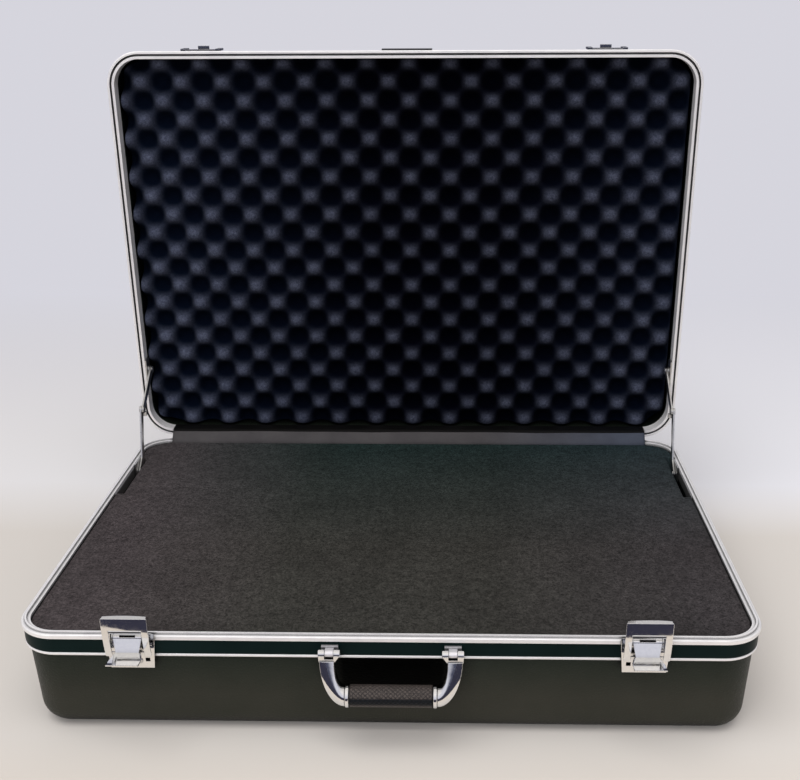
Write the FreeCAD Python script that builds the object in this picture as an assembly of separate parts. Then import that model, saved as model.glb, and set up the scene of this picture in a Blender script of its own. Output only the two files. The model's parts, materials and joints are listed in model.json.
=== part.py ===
import FreeCAD, Part
import math
import os

# A moulded hard case with a hinged lid, shown open. The base lies on the floor and the lid
# stands upright behind it on a continuous hinge. Both halves are drafted plastic shells with
# an extruded metal valance round the rim and foam inside. All lengths are in millimetres.
# +X runs along the hinge, +Y from the front to the hinge and +Z up. The origin is the middle
# of the footprint, on the floor. Every piece of the lid is modelled where it lies when the
# case is shut and is then turned open about the hinge line.

zero = 0.0

# Whole case
case_width = 740.0
case_depth = 509.0
corner_radius = 42.0
least_corner_share = 1 / 3
base_height = 117.0
lid_height = 60.0
open_angle = 90.0
rim_gap = 0.3
touch_gap = 0.3
tolerance_share = 0.1
sewing_share = 0.001
running_clearance = 0.05
cut_overrun = 5.0
front_middle_x = 4.5

# Moulded shells
shell_wall = 2.6
shell_inset = 5.1
shell_draft = 2.5
base_edge_radius = 24.0
lid_edge_radius = 20.0

# Extruded valances, measured inwards from the case outline and down from the rim
rail_width = 9.0
base_web = 2.6
bead_radius = 1.2
rim_bead_height = 4.6
recess_depth = 2.6
far_bead_inset = 1.2
far_bead_top = 20.6
valance_height = 24.2
inner_leg = 1.2
inner_leg_height = 16.0
channel_clearance = 0.1
tongue_start = 3.6
tongue_thickness = 1.8
tongue_height = 2.2
groove_clearance = 0.4
groove_depth = 4.2
band_thickness = 1.1
band_clearance = 0.3

# Foam
foam_edge_gap = 1.9
base_foam_drop = 4.0
top_pad_thickness = 50.0
foam_corner_round = 3.0
stay_relief_width = 9.0
stay_relief_front = 126.0
stay_relief_back = 26.0
stay_relief_depth = 30.0
egg_slab_thickness = 18.0
egg_peak_height = 20.0
egg_pitch_across, egg_pitch_along = 26.2, 23.9
egg_shift_across, egg_shift_along = 6.5, -2.0
egg_base_radius = 17.0
egg_top_radius = 5.5
egg_sides = 8

# Continuous hinge
hinge_length = 660.0
hinge_leaf_thickness = 1.0
hinge_leaf_height = 20.0
hinge_barrel_radius = 3.0
hinge_pin_radius = 1.5
hinge_knuckles = 11
knuckle_gap = 0.3
hinge_rivets = 8
hinge_rivet_share = 0.6
cover_thickness = 1.0
cover_base_flange = 13.0
cover_lid_flange = 13.0

# Lid stays, placed from the rear outline and the rim: first backwards, then upwards
stay_base_back, stay_base_up = -80.0, -15.0
stay_elbow_back, stay_elbow_up = -45.0, 60.0
stay_lid_back, stay_lid_up = 12.0, 98.0
stay_kink_back, stay_kink_up = 16.0, 12.0
stay_arm_width = 10.0
stay_arm_thickness = 2.0
stay_gap = 0.3
stay_bracket_thickness = 2.0
stay_bracket_length = 30.0
stay_bracket_height = 22.0
stay_pin_radius = 2.5
stay_head_radius = 4.5
stay_head_thickness = 1.0
stay_boss_radius = 6.0
stay_hook_length = 7.0
stay_hook_width = 3.4

# Latches, measured outwards from the valance and up from the rim
latch_spacing = 500.5
latch_plate_width = 49.2
latch_plate_foot_width = 42.8
latch_plate_top = 3.2
latch_plate_bottom = -35.5
latch_plate_thickness = 1.4
latch_corner_radius = 3.0
latch_pin_radius = 1.3
latch_ear_thickness = 1.2
latch_ear_radius = 3.4
lever_pivot_out, lever_pivot_up = 5.0, 1.7
lever_width = 28.0
lever_neck_width = 22.8
lever_lip_width = 31.0
lever_thickness = 1.4
lever_barrel_radius = 3.2
lever_plate_out = 8.2
lever_crease_out, lever_crease_up = 11.4, -11.8
lever_lip_out, lever_lip_up = 31.0, -15.5
lever_lip_bow = 1.6
lever_cheek_thickness = 1.3
lever_cheek_back = 2.4
lever_rest_lift = 8.0
lever_slot_width = 15.5
lever_slot_height = 2.4
lever_slot_depth = 1.0
lever_slot_angle = 40.0
hasp_pivot_out, hasp_pivot_up = 4.6, -14.7
hasp_width = 44.6
hasp_height = 41.8
hasp_foot_drop = 2.6
hasp_thickness = 1.4
hasp_bulge = 1.6
hasp_corner_radius = 1.0
hasp_window_width = 31.8
hasp_window_top = 28.9
hasp_ear_thickness = 1.3
hasp_ear_radius = 2.6
hasp_lip_depth = 5.6
hasp_lip_side_depth = 4.2
hasp_panel_out = 1.2
hasp_rest_lean = 5.0
rivet_radius = 2.0
rivet_head_radius = 3.2
rivet_head_height = 0.9
rivet_crown_share = 0.7
latch_rivet_spacing = 15.0
latch_rivet_up = -27.0
latch_hole_width = 4.6
latch_hole_height = 4.0
latch_hole_spacing = 31.4
latch_hole_up = -26.0

# Lid strikes and the bare plate beside the middle of the lid
strike_width = 49.0
strike_thickness = 1.2
strike_low = 3.8
strike_ear_width = 6.0
strike_ear_out = 2.6
strike_tab_width = 14.0
strike_tab_out = 5.4
strike_tab_gap = 0.4
plate_width = 62.0
plate_thickness = 1.6
plate_low, plate_high = 4.0, 20.0

# Carrying handle, measured outwards from the valance and up from the rim
handle_post_spacing = 120.0
handle_pivot_out, handle_pivot_up = 7.0, -13.7
handle_tab_width = 16.5
handle_tab_height = 12.4
handle_tab_up = -15.0
handle_tab_thickness = 1.6
handle_tongue_width = 8.3
handle_tongue_radius = 3.4
handle_fork_width = 21.0
handle_fork_radius = 4.2
handle_pin_radius = 1.7
handle_drop = 41.8
handle_grip_out = 16.0
handle_arm_top_drop = 5.6
handle_arm_width = 16.0
handle_arm_depth = 9.6
handle_arm_end_radius = 10.2
handle_arm_lean = 0.4
handle_neck_lap = 1.6
handle_grip_length = 81.0
handle_grip_radius = 10.9
handle_collar_room = 4.6
handle_collar_gap = 0.5
handle_collar_radius = 11.5
handle_collar_round = 0.8
handle_core_radius = 4.0
handle_socket_depth = 8.0

handle_station_shares = (0.0, 0.2, 0.4, 0.6, 0.8, 1.0)
handle_top_corner_share = 0.86
handle_end_corner_share = 0.7071

X = FreeCAD.Vector(1, 0, 0)
Y = FreeCAD.Vector(0, 1, 0)
Z = FreeCAD.Vector(0, 0, 1)
ORIGIN = FreeCAD.Vector(0, 0, 0)

rim = base_height
front = -case_depth / 2
rear = case_depth / 2
side_wall = case_width / 2 - rail_width
hinge_y = rear + hinge_barrel_radius + hinge_leaf_thickness / 2
hinge_line = FreeCAD.Vector(0, hinge_y, rim)
lid_web = groove_depth + inner_leg
band_face = recess_depth - band_thickness


def point(x, y, z):
    return FreeCAD.Vector(x, y, z)


def box(x0, x1, y0, y1, z0, z1):
    return Part.makeBox(x1 - x0, y1 - y0, z1 - z0, point(x0, y0, z0))


def rod(radius, start, end):
    """A round bar between two points."""
    return Part.makeCylinder(radius, (end - start).Length, start, end - start)


def one_solid(shape):
    """The single solid inside a fused or cut shape."""
    clean = shape.removeSplitter()
    assert len(clean.Solids) == 1, len(clean.Solids)
    return clean.Solids[0]


def fused(shapes):
    return one_solid(shapes[0].fuse(shapes[1:]))


def rounded_rectangle(half_x, half_y, radius, z):
    """A closed wire of four sides and four tangent corner arcs, starting mid front."""
    near, far = -half_y, half_y
    cx, cy = half_x - radius, half_y - radius
    slant = radius / math.sqrt(2)
    start = point(0, near, z)
    edges = [Part.LineSegment(start, point(cx, near, z)).toShape()]
    corners = [
        (point(cx, near, z), point(cx + slant, -cy - slant, z), point(half_x, -cy, z)),
        (point(half_x, cy, z), point(cx + slant, cy + slant, z), point(cx, far, z)),
        (point(-cx, far, z), point(-cx - slant, cy + slant, z), point(-half_x, cy, z)),
        (point(-half_x, -cy, z), point(-cx - slant, -cy - slant, z), point(-cx, near, z)),
    ]
    for index, corner in enumerate(corners):
        edges.append(Part.Arc(*corner).toShape())
        after = corners[index + 1][0] if index < 3 else start
        edges.append(Part.LineSegment(corner[2], after).toShape())
    return Part.Wire(edges)


def outline(inset, z):
    """The case outline, drawn in by an inset."""
    radius = max(corner_radius - inset, corner_radius * least_corner_share)
    return rounded_rectangle(case_width / 2 - inset, case_depth / 2 - inset, radius, z)


def slab(inset, z0, z1):
    return Part.Face(outline(inset, z0)).extrude(Z * (z1 - z0))


def edges_at_height(shape, z):
    """The edges of a shape that lie flat at one height."""
    tolerance = touch_gap * tolerance_share
    return [e for e in shape.Edges
            if abs(e.BoundBox.ZMin - z) < tolerance and abs(e.BoundBox.ZMax - z) < tolerance]


def tub(inset, depth, straight, edge_radius, direction):
    """A solid tub below (-1) or above (+1) the rim: straight at the rim, drafted beyond it."""
    shrink = (depth - straight) * math.tan(math.radians(shell_draft))
    z0 = rim
    z1 = rim + direction * straight
    z2 = rim + direction * depth
    collar = slab(inset, min(z0, z1), max(z0, z1))
    wires = [outline(inset, z1), outline(inset + shrink, z2)]
    body = Part.makeLoft(wires, True, True)
    solid = collar.fuse(body).removeSplitter()
    return solid.makeFillet(edge_radius, edges_at_height(solid, z2))


def moulded_shell(height, edge_radius, direction, web):
    """An open shell of even wall, whose rim tucks into the valance's channel under its web."""
    outer = tub(shell_inset, height, valance_height, edge_radius, direction)
    inner = tub(shell_inset + shell_wall, height - shell_wall, valance_height,
                edge_radius - shell_wall, direction)
    trim = web + channel_clearance
    low = min(rim, rim + direction * trim)
    high = max(rim, rim + direction * trim)
    lip = slab(zero, low, high)
    return one_solid(outer.cut(inner).cut(lip))


def profile_face(steps):
    """A closed profile face in the plane of the outline's start, given as inset and height."""
    def place(step):
        return point(0, front + step[0], step[1])
    edges = []
    current = place(steps[0][1])
    first = current
    for kind, *targets in steps[1:]:
        spots = [place(target) for target in targets]
        if kind == "line":
            edges.append(Part.LineSegment(current, spots[0]).toShape())
        else:
            edges.append(Part.Arc(current, spots[0], spots[1]).toShape())
        current = spots[-1]
    edges.append(Part.LineSegment(current, first).toShape())
    return Part.Wire(edges)


def swept_ring(profile):
    """A profile carried once round the case outline without twisting."""
    path = outline(zero, rim)
    sweep = Part.BRepOffsetAPI.MakePipeShell(path)
    sweep.setBiNormalMode(Z)
    sweep.add(profile)
    sweep.build()
    sweep.makeSolid()
    return Part.Solid(sweep.shape())


def valance_profile(direction, face):
    """The section of a valance: beads, recess for the band, channel for the shell's edge.

    The base has a tongue on its rim face and the lid has a groove for it."""
    def at(inset, drop):
        return (inset, face + direction * drop)
    cut45 = bead_radius * (1 - 1 / math.sqrt(2))
    leg_back = shell_inset - channel_clearance
    leg_front = shell_inset + shell_wall + channel_clearance
    if direction < 0:
        tongue_end = tongue_start + tongue_thickness
        key = [
            ("line", at(tongue_end, zero)),
            ("line", at(tongue_end, -tongue_height)),
            ("line", at(tongue_start, -tongue_height)),
            ("line", at(tongue_start, zero)),
        ]
    else:
        groove_start = tongue_start - groove_clearance
        groove_end = tongue_start + tongue_thickness + groove_clearance
        key = [
            ("line", at(groove_end, zero)),
            ("line", at(groove_end, groove_depth)),
            ("line", at(groove_start, groove_depth)),
            ("line", at(groove_start, zero)),
        ]
    web = base_web if direction < 0 else lid_web
    return profile_face([
        ("start", at(bead_radius, zero)),
        ("arc", at(cut45, cut45), at(zero, bead_radius)),
        ("line", at(zero, rim_bead_height)),
        ("line", at(recess_depth, rim_bead_height)),
        ("line", at(recess_depth, far_bead_top)),
        ("line", at(far_bead_inset + bead_radius, far_bead_top)),
        ("arc", at(far_bead_inset, (far_bead_top + valance_height) / 2),
         at(far_bead_inset + bead_radius, valance_height)),
        ("line", at(leg_back, valance_height)),
        ("line", at(leg_back, web)),
        ("line", at(leg_front, web)),
        ("line", at(leg_front, inner_leg_height)),
        ("line", at(rail_width, inner_leg_height)),
        ("line", at(rail_width, zero)),
    ] + key)


def band_profile(direction, face):
    """The flat strip that lies in the recess of a valance."""
    def at(inset, drop):
        return (inset, face + direction * drop)
    outer = band_face
    near = rim_bead_height + band_clearance
    far = far_bead_top - band_clearance
    return profile_face([
        ("start", at(outer, near)),
        ("line", at(outer, far)),
        ("line", at(recess_depth, far)),
        ("line", at(recess_depth, near)),
    ])


def opened(shape):
    """A lid piece turned from its shut place to the open one."""
    turned = shape.copy()
    turned.rotate(hinge_line, X, -open_angle)
    return turned


def base_shell():
    return moulded_shell(base_height, base_edge_radius, -1, base_web)


def lid_shell():
    return moulded_shell(lid_height, lid_edge_radius, 1, lid_web + rim_gap)


def base_valance():
    return swept_ring(valance_profile(-1, rim))


def lid_valance():
    return swept_ring(valance_profile(1, rim + rim_gap))


def base_band():
    return swept_ring(band_profile(-1, rim))


def lid_band():
    return swept_ring(band_profile(1, rim + rim_gap))


def stay_relief():
    """The room at both sides of the base foam where the stays fold down."""
    foam_side = case_width / 2 - rail_width - foam_edge_gap
    y_back = rear + stay_base_back + stay_relief_back
    y_front = y_back - stay_relief_front
    low = rim - base_foam_drop - stay_relief_depth
    cuts = []
    for side in (-1, 1):
        inner = side * (foam_side - stay_relief_width)
        outer = side * (foam_side + cut_overrun)
        cuts.append(box(min(inner, outer), max(inner, outer), y_front, y_back, low, rim))
    return cuts


def base_foam_top():
    top = rim - base_foam_drop
    pad = slab(rail_width + foam_edge_gap, top - top_pad_thickness, top)
    pad = pad.makeFillet(foam_corner_round, edges_at_height(pad, top))
    return one_solid(pad.cut(stay_relief()))


def base_foam_bottom():
    inset = shell_inset + shell_wall + touch_gap
    room = tub(inset, base_height - shell_wall - touch_gap, valance_height,
               base_edge_radius - shell_wall - touch_gap, -1)
    top = rim - base_foam_drop - top_pad_thickness - touch_gap
    return one_solid(room.cut(slab(zero, top, rim + cut_overrun)))


def lies_inside(x, y, half_x, half_y, radius, margin):
    """Whether a place keeps a margin from the edge of a rounded rectangle."""
    over_x = max(abs(x) - (half_x - radius), zero)
    over_y = max(abs(y) - (half_y - radius), zero)
    if max(abs(x) - half_x, abs(y) - half_y) > -margin:
        return False
    return math.hypot(over_x, over_y) <= radius - margin or min(over_x, over_y) == zero


def egg_centres():
    """Peak centres in rows one pitch apart, every other row moved by one pitch."""
    inset = rail_width + foam_edge_gap
    half_x = case_width / 2 - inset
    half_y = case_depth / 2 - inset
    columns = int(half_x / egg_pitch_across) + 1
    rows = int(half_y / egg_pitch_along) + 1
    centres = []
    for row in range(-rows, rows + 1):
        for column in range(-columns, columns + 1):
            x = egg_shift_across + column * egg_pitch_across
            y = egg_shift_along + row * egg_pitch_along
            inside = lies_inside(x, y, half_x, half_y, corner_radius - inset, egg_base_radius)
            if (row + column) % 2 == 0 and inside:
                centres.append((x, y))
    return centres


def egg_polygon(centre, radius, z):
    spots = []
    for index in range(egg_sides):
        angle = 2 * math.pi * index / egg_sides
        spots.append(point(centre[0] + radius * math.cos(angle),
                           centre[1] + radius * math.sin(angle), z))
    return spots


def lid_foam():
    """A convoluted foam sheet: a flat back with blunt peaks in staggered rows."""
    inset = rail_width + foam_edge_gap
    back = rim + lid_height - shell_wall - touch_gap
    valley = back - egg_slab_thickness
    tip = valley - egg_peak_height
    room = tub(shell_inset + shell_wall + touch_gap, lid_height - shell_wall - touch_gap,
               valance_height, lid_edge_radius - shell_wall - touch_gap, 1)
    sheet = slab(inset, valley, back + cut_overrun).common(room).removeSplitter()
    floor = min(sheet.Faces, key=lambda face: face.CenterOfMass.z)
    others = [face for face in sheet.Faces if not face.isSame(floor)]
    holes = []
    faces = []
    for centre in egg_centres():
        low = egg_polygon(centre, egg_base_radius, valley)
        high = egg_polygon(centre, egg_top_radius, tip)
        holes.append(Part.makePolygon(low + low[:1]))
        faces.append(Part.Face(Part.makePolygon(high + high[:1])))
        for index in range(egg_sides):
            after = (index + 1) % egg_sides
            faces.append(Part.Face(Part.makePolygon(
                [low[index], low[after], high[after], high[index], low[index]])))
    pierced = Part.Face([floor.OuterWire] + holes)
    pierced.validate()
    shell = Part.makeShell(others + [pierced] + faces)
    shell.sewShape()
    solid = Part.Solid(shell)
    solid.fixTolerance(touch_gap * sewing_share)
    return solid


def knuckle_spans(odd):
    """The stretches of the hinge line that one leaf's knuckles take."""
    pitch = hinge_length / hinge_knuckles
    start = -hinge_length / 2
    return [(start + n * pitch + knuckle_gap / 2, start + (n + 1) * pitch - knuckle_gap / 2)
            for n in range(hinge_knuckles) if n % 2 == odd]


def hinge_leaf(direction, odd):
    """A flat leaf on the rear of a valance with its share of the knuckles."""
    low = min(rim, rim + direction * hinge_leaf_height)
    high = max(rim, rim + direction * hinge_leaf_height)
    leaf = box(-hinge_length / 2, hinge_length / 2, rear, rear + hinge_leaf_thickness, low, high)
    solid = leaf
    clear = hinge_barrel_radius + knuckle_gap
    for x0, x1 in knuckle_spans(odd):
        solid = solid.fuse(rod(hinge_barrel_radius, point(x0, hinge_y, rim),
                               point(x1, hinge_y, rim)))
    for x0, x1 in knuckle_spans(1 - odd):
        x0 -= knuckle_gap
        x1 += knuckle_gap
        solid = solid.cut(rod(clear, point(x0, hinge_y, rim), point(x1, hinge_y, rim)))
        solid = solid.cut(box(x0, x1, rear - cut_overrun, hinge_y, rim - clear, rim + clear))
    bore = hinge_pin_radius + running_clearance
    solid = solid.cut(rod(bore, point(-hinge_length, hinge_y, rim),
                          point(hinge_length, hinge_y, rim)))
    return one_solid(solid)


def hinge_pin():
    half = hinge_length / 2
    return rod(hinge_pin_radius, point(-half, hinge_y, rim), point(half, hinge_y, rim))


def rivet_head(centre, axis):
    """A low domed head that stands on a face."""
    foot = Part.makeCylinder(rivet_head_radius, rivet_head_height, centre, axis)
    crown = [edge for edge in foot.Edges
             if len(edge.Vertexes) == 1
             and (edge.CenterOfMass - centre).dot(axis) > rivet_head_height / 2]
    return foot.makeFillet(rivet_head_height * rivet_crown_share, crown)


def hinge_rivet_row(direction):
    """Rivet heads along a hinge leaf."""
    pitch = hinge_length / hinge_rivets
    z = rim + direction * hinge_leaf_height * hinge_rivet_share
    return Part.makeCompound([
        rivet_head(point(-hinge_length / 2 + (n + 1 / 2) * pitch, rear + hinge_leaf_thickness, z), Y)
        for n in range(hinge_rivets)])


def hinge_cover():
    """The flexible strip that covers the hinge inside, shown with the lid open."""
    leg = rear - rail_width
    flange = leg - touch_gap
    lid_face = hinge_y - rim_gap
    shelf = rim + rail_width + hinge_y - rear + touch_gap
    t = cover_thickness
    low = [
        point(0, flange - t, rim - cover_base_flange),
        point(0, flange - t, rim),
        point(0, lid_face - t, shelf + t),
        point(0, lid_face + cover_lid_flange, shelf + t),
        point(0, lid_face + cover_lid_flange, shelf),
        point(0, lid_face - touch_gap, shelf),
        point(0, flange, rim - touch_gap),
        point(0, flange, rim - cover_base_flange),
    ]
    face = Part.Face(Part.makePolygon(low + low[:1]))
    strip = face.extrude(X * hinge_length)
    strip.translate(X * (-hinge_length / 2))
    return strip


def stay_spot(back, up, x):
    return point(x, rear + back, rim + up)


def bar_between(spots, width, x0, x1):
    """A flat bar with round ends through several spots in a plane across X."""
    radius = width / 2
    parts = []
    for spot in spots:
        parts.append(rod(radius, point(x0, spot.y, spot.z), point(x1, spot.y, spot.z)))
    for a, b in zip(spots, spots[1:]):
        along = b - a
        along.normalize()
        across = X.cross(along) * radius
        corners = [a + across, b + across, b - across, a - across]
        corners = [point(x0, c.y, c.z) for c in corners]
        face = Part.Face(Part.makePolygon(corners + corners[:1]))
        parts.append(face.extrude(X * (x1 - x0)))
    return fused(parts)


def stay_planes():
    """Distances from the middle: wall, lower arm and upper arm, outside to inside."""
    wall = side_wall
    bracket = wall - stay_bracket_thickness
    lower_out = bracket - stay_gap
    lower_in = lower_out - stay_arm_thickness
    upper_out = lower_in - stay_gap
    upper_in = upper_out - stay_arm_thickness
    return wall, bracket, lower_out, lower_in, upper_out, upper_in


def stay_base_bracket(side):
    """A plate on the base valance with the pivot rivet of the lower arm."""
    wall, bracket, lower_out, lower_in, upper_out, upper_in = stay_planes()
    spot = stay_spot(stay_base_back, stay_base_up, zero)
    plate = box(bracket, wall, spot.y - stay_bracket_length / 2, spot.y + stay_bracket_length / 2,
                rim - stay_bracket_height, rim - touch_gap)
    pin = rod(stay_pin_radius, point(bracket, spot.y, spot.z),
              point(lower_in - stay_gap - stay_head_thickness, spot.y, spot.z))
    head = rod(stay_head_radius, point(lower_in - stay_gap, spot.y, spot.z),
               point(lower_in - stay_gap - stay_head_thickness, spot.y, spot.z))
    return mirrored(fused([plate, pin, head]), side)


def mirrored(shape, side):
    """The piece as built on the right, or its mirror image on the left."""
    return shape if side > 0 else shape.mirror(ORIGIN, X)


def stay_lower_arm(side):
    """The lower arm: kinked above its base pivot, with half of the elbow rivet outside."""
    wall, bracket, lower_out, lower_in, upper_out, upper_in = stay_planes()
    foot = stay_spot(stay_base_back, stay_base_up, lower_in)
    kink = stay_spot(stay_base_back + stay_kink_back, stay_base_up + stay_kink_up, lower_in)
    elbow = stay_spot(stay_elbow_back, stay_elbow_up, lower_in)
    bar = bar_between([foot, kink, elbow], stay_arm_width, lower_in, lower_out)
    hole = rod(stay_pin_radius + running_clearance, point(lower_in - cut_overrun, foot.y, foot.z),
               point(lower_out + cut_overrun, foot.y, foot.z))
    head = rod(stay_head_radius, point(lower_out, elbow.y, elbow.z),
               point(lower_out + stay_head_thickness, elbow.y, elbow.z))
    return mirrored(fused([bar.cut(hole), head]), side)


def stay_upper_arm(side):
    """The upper arm: straight, with the elbow's rivet head and a small stop hook."""
    wall, bracket, lower_out, lower_in, upper_out, upper_in = stay_planes()
    elbow = stay_spot(stay_elbow_back, stay_elbow_up, upper_in)
    head_spot = stay_spot(stay_lid_back, stay_lid_up, upper_in)
    bar = bar_between([elbow, head_spot], stay_arm_width, upper_in, upper_out)
    hole = rod(stay_pin_radius + running_clearance,
               point(upper_in - cut_overrun, head_spot.y, head_spot.z),
               point(upper_out + cut_overrun, head_spot.y, head_spot.z))
    head = rod(stay_head_radius, point(upper_in - stay_head_thickness, elbow.y, elbow.z),
               point(upper_in, elbow.y, elbow.z))
    hook = box(upper_in - stay_hook_width, upper_out, elbow.y - stay_hook_width / 2,
               elbow.y + stay_hook_width / 2, elbow.z - stay_arm_width / 2 - stay_hook_length / 2,
               elbow.z - stay_arm_width / 2 + stay_arm_thickness)
    return mirrored(fused([bar.cut(hole), head, hook]), side)


def stay_lid_bracket(side):
    """A plate and boss on the lid valance with the pivot rivet of the upper arm."""
    wall, bracket, lower_out, lower_in, upper_out, upper_in = stay_planes()
    spot = stay_spot(stay_lid_back, stay_lid_up, zero)
    half = stay_bracket_length / 2
    near = hinge_y + rim_gap
    plate = box(bracket, wall, near, near + inner_leg_height, spot.z - half, spot.z + half)
    boss = rod(stay_boss_radius, point(bracket, spot.y, spot.z),
               point(upper_out + stay_gap, spot.y, spot.z))
    pin = rod(stay_pin_radius, point(bracket, spot.y, spot.z),
              point(upper_in - stay_gap - stay_head_thickness, spot.y, spot.z))
    head = rod(stay_head_radius, point(upper_in - stay_gap, spot.y, spot.z),
               point(upper_in - stay_gap - stay_head_thickness, spot.y, spot.z))
    return mirrored(fused([plate, boss, pin, head]), side)


def out_point(x, out, up):
    """A point given by its distance out from the front of the valance and up from the rim."""
    return point(x, front - out, rim + up)


def front_plate(x, width, out0, out1, up0, up1, radius=0.0):
    """A flat plate across the front, with rounded corners where a radius is given."""
    solid = box(x - width / 2, x + width / 2, front - out1, front - out0, rim + up0, rim + up1)
    if radius:
        corners = []
        for edge in solid.Edges:
            ends = [vertex.Point for vertex in edge.Vertexes]
            if abs(ends[1].y - ends[0].y) > (out1 - out0) / 2:
                corners.append(edge)
        solid = solid.makeFillet(radius, corners)
    return solid


def side_profile(points, x, width):
    """A solid with one side profile, extruded across X about a middle."""
    wire = [out_point(x - width / 2, out, up) for out, up in points]
    return Part.Face(Part.makePolygon(wire + wire[:1])).extrude(X * width)


def turned_out(shape, x, out, up, angle):
    """Turned about a line across the case: positive angles lift a low edge outwards."""
    turned = shape.copy()
    turned.rotate(out_point(x, out, up), X, -angle)
    return turned


def latch_plate(x):
    """The pressed plate of a latch: tapered, with a returned lower edge, and two lever ears."""
    t = latch_plate_thickness
    radius = latch_corner_radius
    behind = -shell_inset + touch_gap
    low, high = latch_plate_bottom, latch_plate_top
    narrow = latch_plate_foot_width / 2
    flange_up = -valance_height - touch_gap
    plate = front_plate(x, latch_plate_width, zero, t, low, high, radius)
    parts = [front_plate(x, 2 * (narrow - radius), behind, t, low, low + t)]
    for side in (-1, 1):
        wall_x = x + side * (narrow - radius + t / 2)
        parts.append(front_plate(wall_x, t, behind, t, low, flange_up))
    plate = plate.fuse(parts)
    half_hole = latch_hole_height / 2
    for side in (-1, 1):
        plate = plate.cut(side_wedge(x, side, latch_plate_width / 2, narrow, high, low))
        hole_x = x + side * latch_hole_spacing / 2
        plate = plate.cut(front_plate(hole_x, latch_hole_width, -cut_overrun, t + cut_overrun,
                                      latch_hole_up - half_hole, latch_hole_up + half_hole))
    relief = front_plate(x, latch_plate_width + cut_overrun, -cut_overrun, touch_gap,
                         -rim_gap, high + cut_overrun)
    plate = plate.cut(relief)
    ears = []
    for side in (-1, 1):
        ear_x = x + side * (lever_width / 2 + touch_gap + latch_ear_thickness / 2)
        ears.append(cross_rod(ear_x, latch_ear_thickness, latch_ear_radius,
                              lever_pivot_out, lever_pivot_up))
        ears.append(front_plate(ear_x, latch_ear_thickness, touch_gap, lever_pivot_out,
                                lever_pivot_up - latch_ear_radius, high))
    bore = cross_rod(x, latch_plate_width, latch_pin_radius, lever_pivot_out, lever_pivot_up)
    return one_solid(plate.fuse(ears).cut(bore))


def cross_rod(x, length, radius, out, up):
    """A round bar across the case, about a middle."""
    return rod(radius, out_point(x - length / 2, out, up), out_point(x + length / 2, out, up))


def side_wedge(x, side, half_high, half_low, high, low):
    """What is cut from one side of a front plate to taper it between two half widths."""
    reach = max(half_high, half_low) + cut_overrun + cut_overrun
    slope = (half_high - half_low) / (high - low)
    corners = [
        (half_high + slope * cut_overrun, high + cut_overrun),
        (reach, high + cut_overrun),
        (reach, low - cut_overrun),
        (half_low - slope * cut_overrun, low - cut_overrun),
    ]
    depth = lever_lip_out + cut_overrun
    wire = [out_point(x + side * across, depth, up) for across, up in corners]
    face = Part.Face(Part.makePolygon(wire + wire[:1]))
    return face.extrude(Y * (depth + shell_inset + cut_overrun))


def lever_pin(x):
    length = lever_width + 2 * (touch_gap + latch_ear_thickness)
    return cross_rod(x, length, latch_pin_radius, lever_pivot_out, lever_pivot_up)


def inward(start, end):
    """The unit direction square to a line between two spots, on its right-hand side."""
    run = FreeCAD.Vector(end[0] - start[0], end[1] - start[1], zero)
    run.normalize()
    return FreeCAD.Vector(run.y, -run.x, zero)


def moved(spot, direction, distance):
    """A spot shifted along a direction in the plane of outwards and up."""
    return (spot[0] + direction.x * distance, spot[1] + direction.y * distance)


def lever_spots():
    """The bends of the lever's side view: its outer face first, then its inner face."""
    t = lever_thickness
    head = (lever_plate_out, lever_pivot_up)
    crease = (lever_crease_out, lever_crease_up)
    tip = (lever_lip_out, lever_lip_up)
    plate_side, lip_side = inward(head, crease), inward(crease, tip)
    chord_middle = ((crease[0] + tip[0]) / 2, (crease[1] + tip[1]) / 2)
    bow = moved(chord_middle, lip_side, lever_lip_bow)
    both = plate_side + lip_side
    bend_share = 1 / (1 + plate_side.dot(lip_side))
    outer = (head, crease, bow, tip)
    inner = (moved(head, plate_side, t), moved(crease, both, t * bend_share),
             moved(bow, lip_side, t), moved(tip, lip_side, t))
    return outer, inner


def lever_lip(x, outer, inner):
    """The finger lip below the crease, curved outwards and wider at its edge."""
    x0 = x - lever_lip_width / 2
    places_out = [out_point(x0, *spot) for spot in outer[1:]]
    places_in = [out_point(x0, *spot) for spot in inner[1:]]
    edges = [
        Part.Arc(*places_out).toShape(),
        Part.LineSegment(places_out[-1], places_in[-1]).toShape(),
        Part.Arc(*places_in[::-1]).toShape(),
        Part.LineSegment(places_in[0], places_out[0]).toShape(),
    ]
    lip = Part.Face(Part.Wire(edges)).extrude(X * lever_lip_width)
    for side in (-1, 1):
        lip = lip.cut(side_wedge(x, side, lever_neck_width / 2, lever_lip_width / 2,
                                 lever_crease_up, lever_lip_up))
    return lip


def lever_cheek(x, side):
    """One side wall of the lever, from its barrel down to the hasp's pin."""
    cheek_x = x + side * (lever_neck_width - lever_cheek_thickness) / 2
    half = lever_thickness / 2
    wall = side_profile([
        (lever_cheek_back, lever_pivot_up),
        (lever_plate_out - half, lever_pivot_up),
        (lever_crease_out - half, lever_crease_up),
        (hasp_pivot_out + hasp_ear_radius, hasp_pivot_up),
        (hasp_pivot_out - hasp_ear_radius, hasp_pivot_up),
    ], cheek_x, lever_cheek_thickness)
    end = cross_rod(cheek_x, lever_cheek_thickness, hasp_ear_radius, hasp_pivot_out, hasp_pivot_up)
    return wall.fuse(end)


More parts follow.
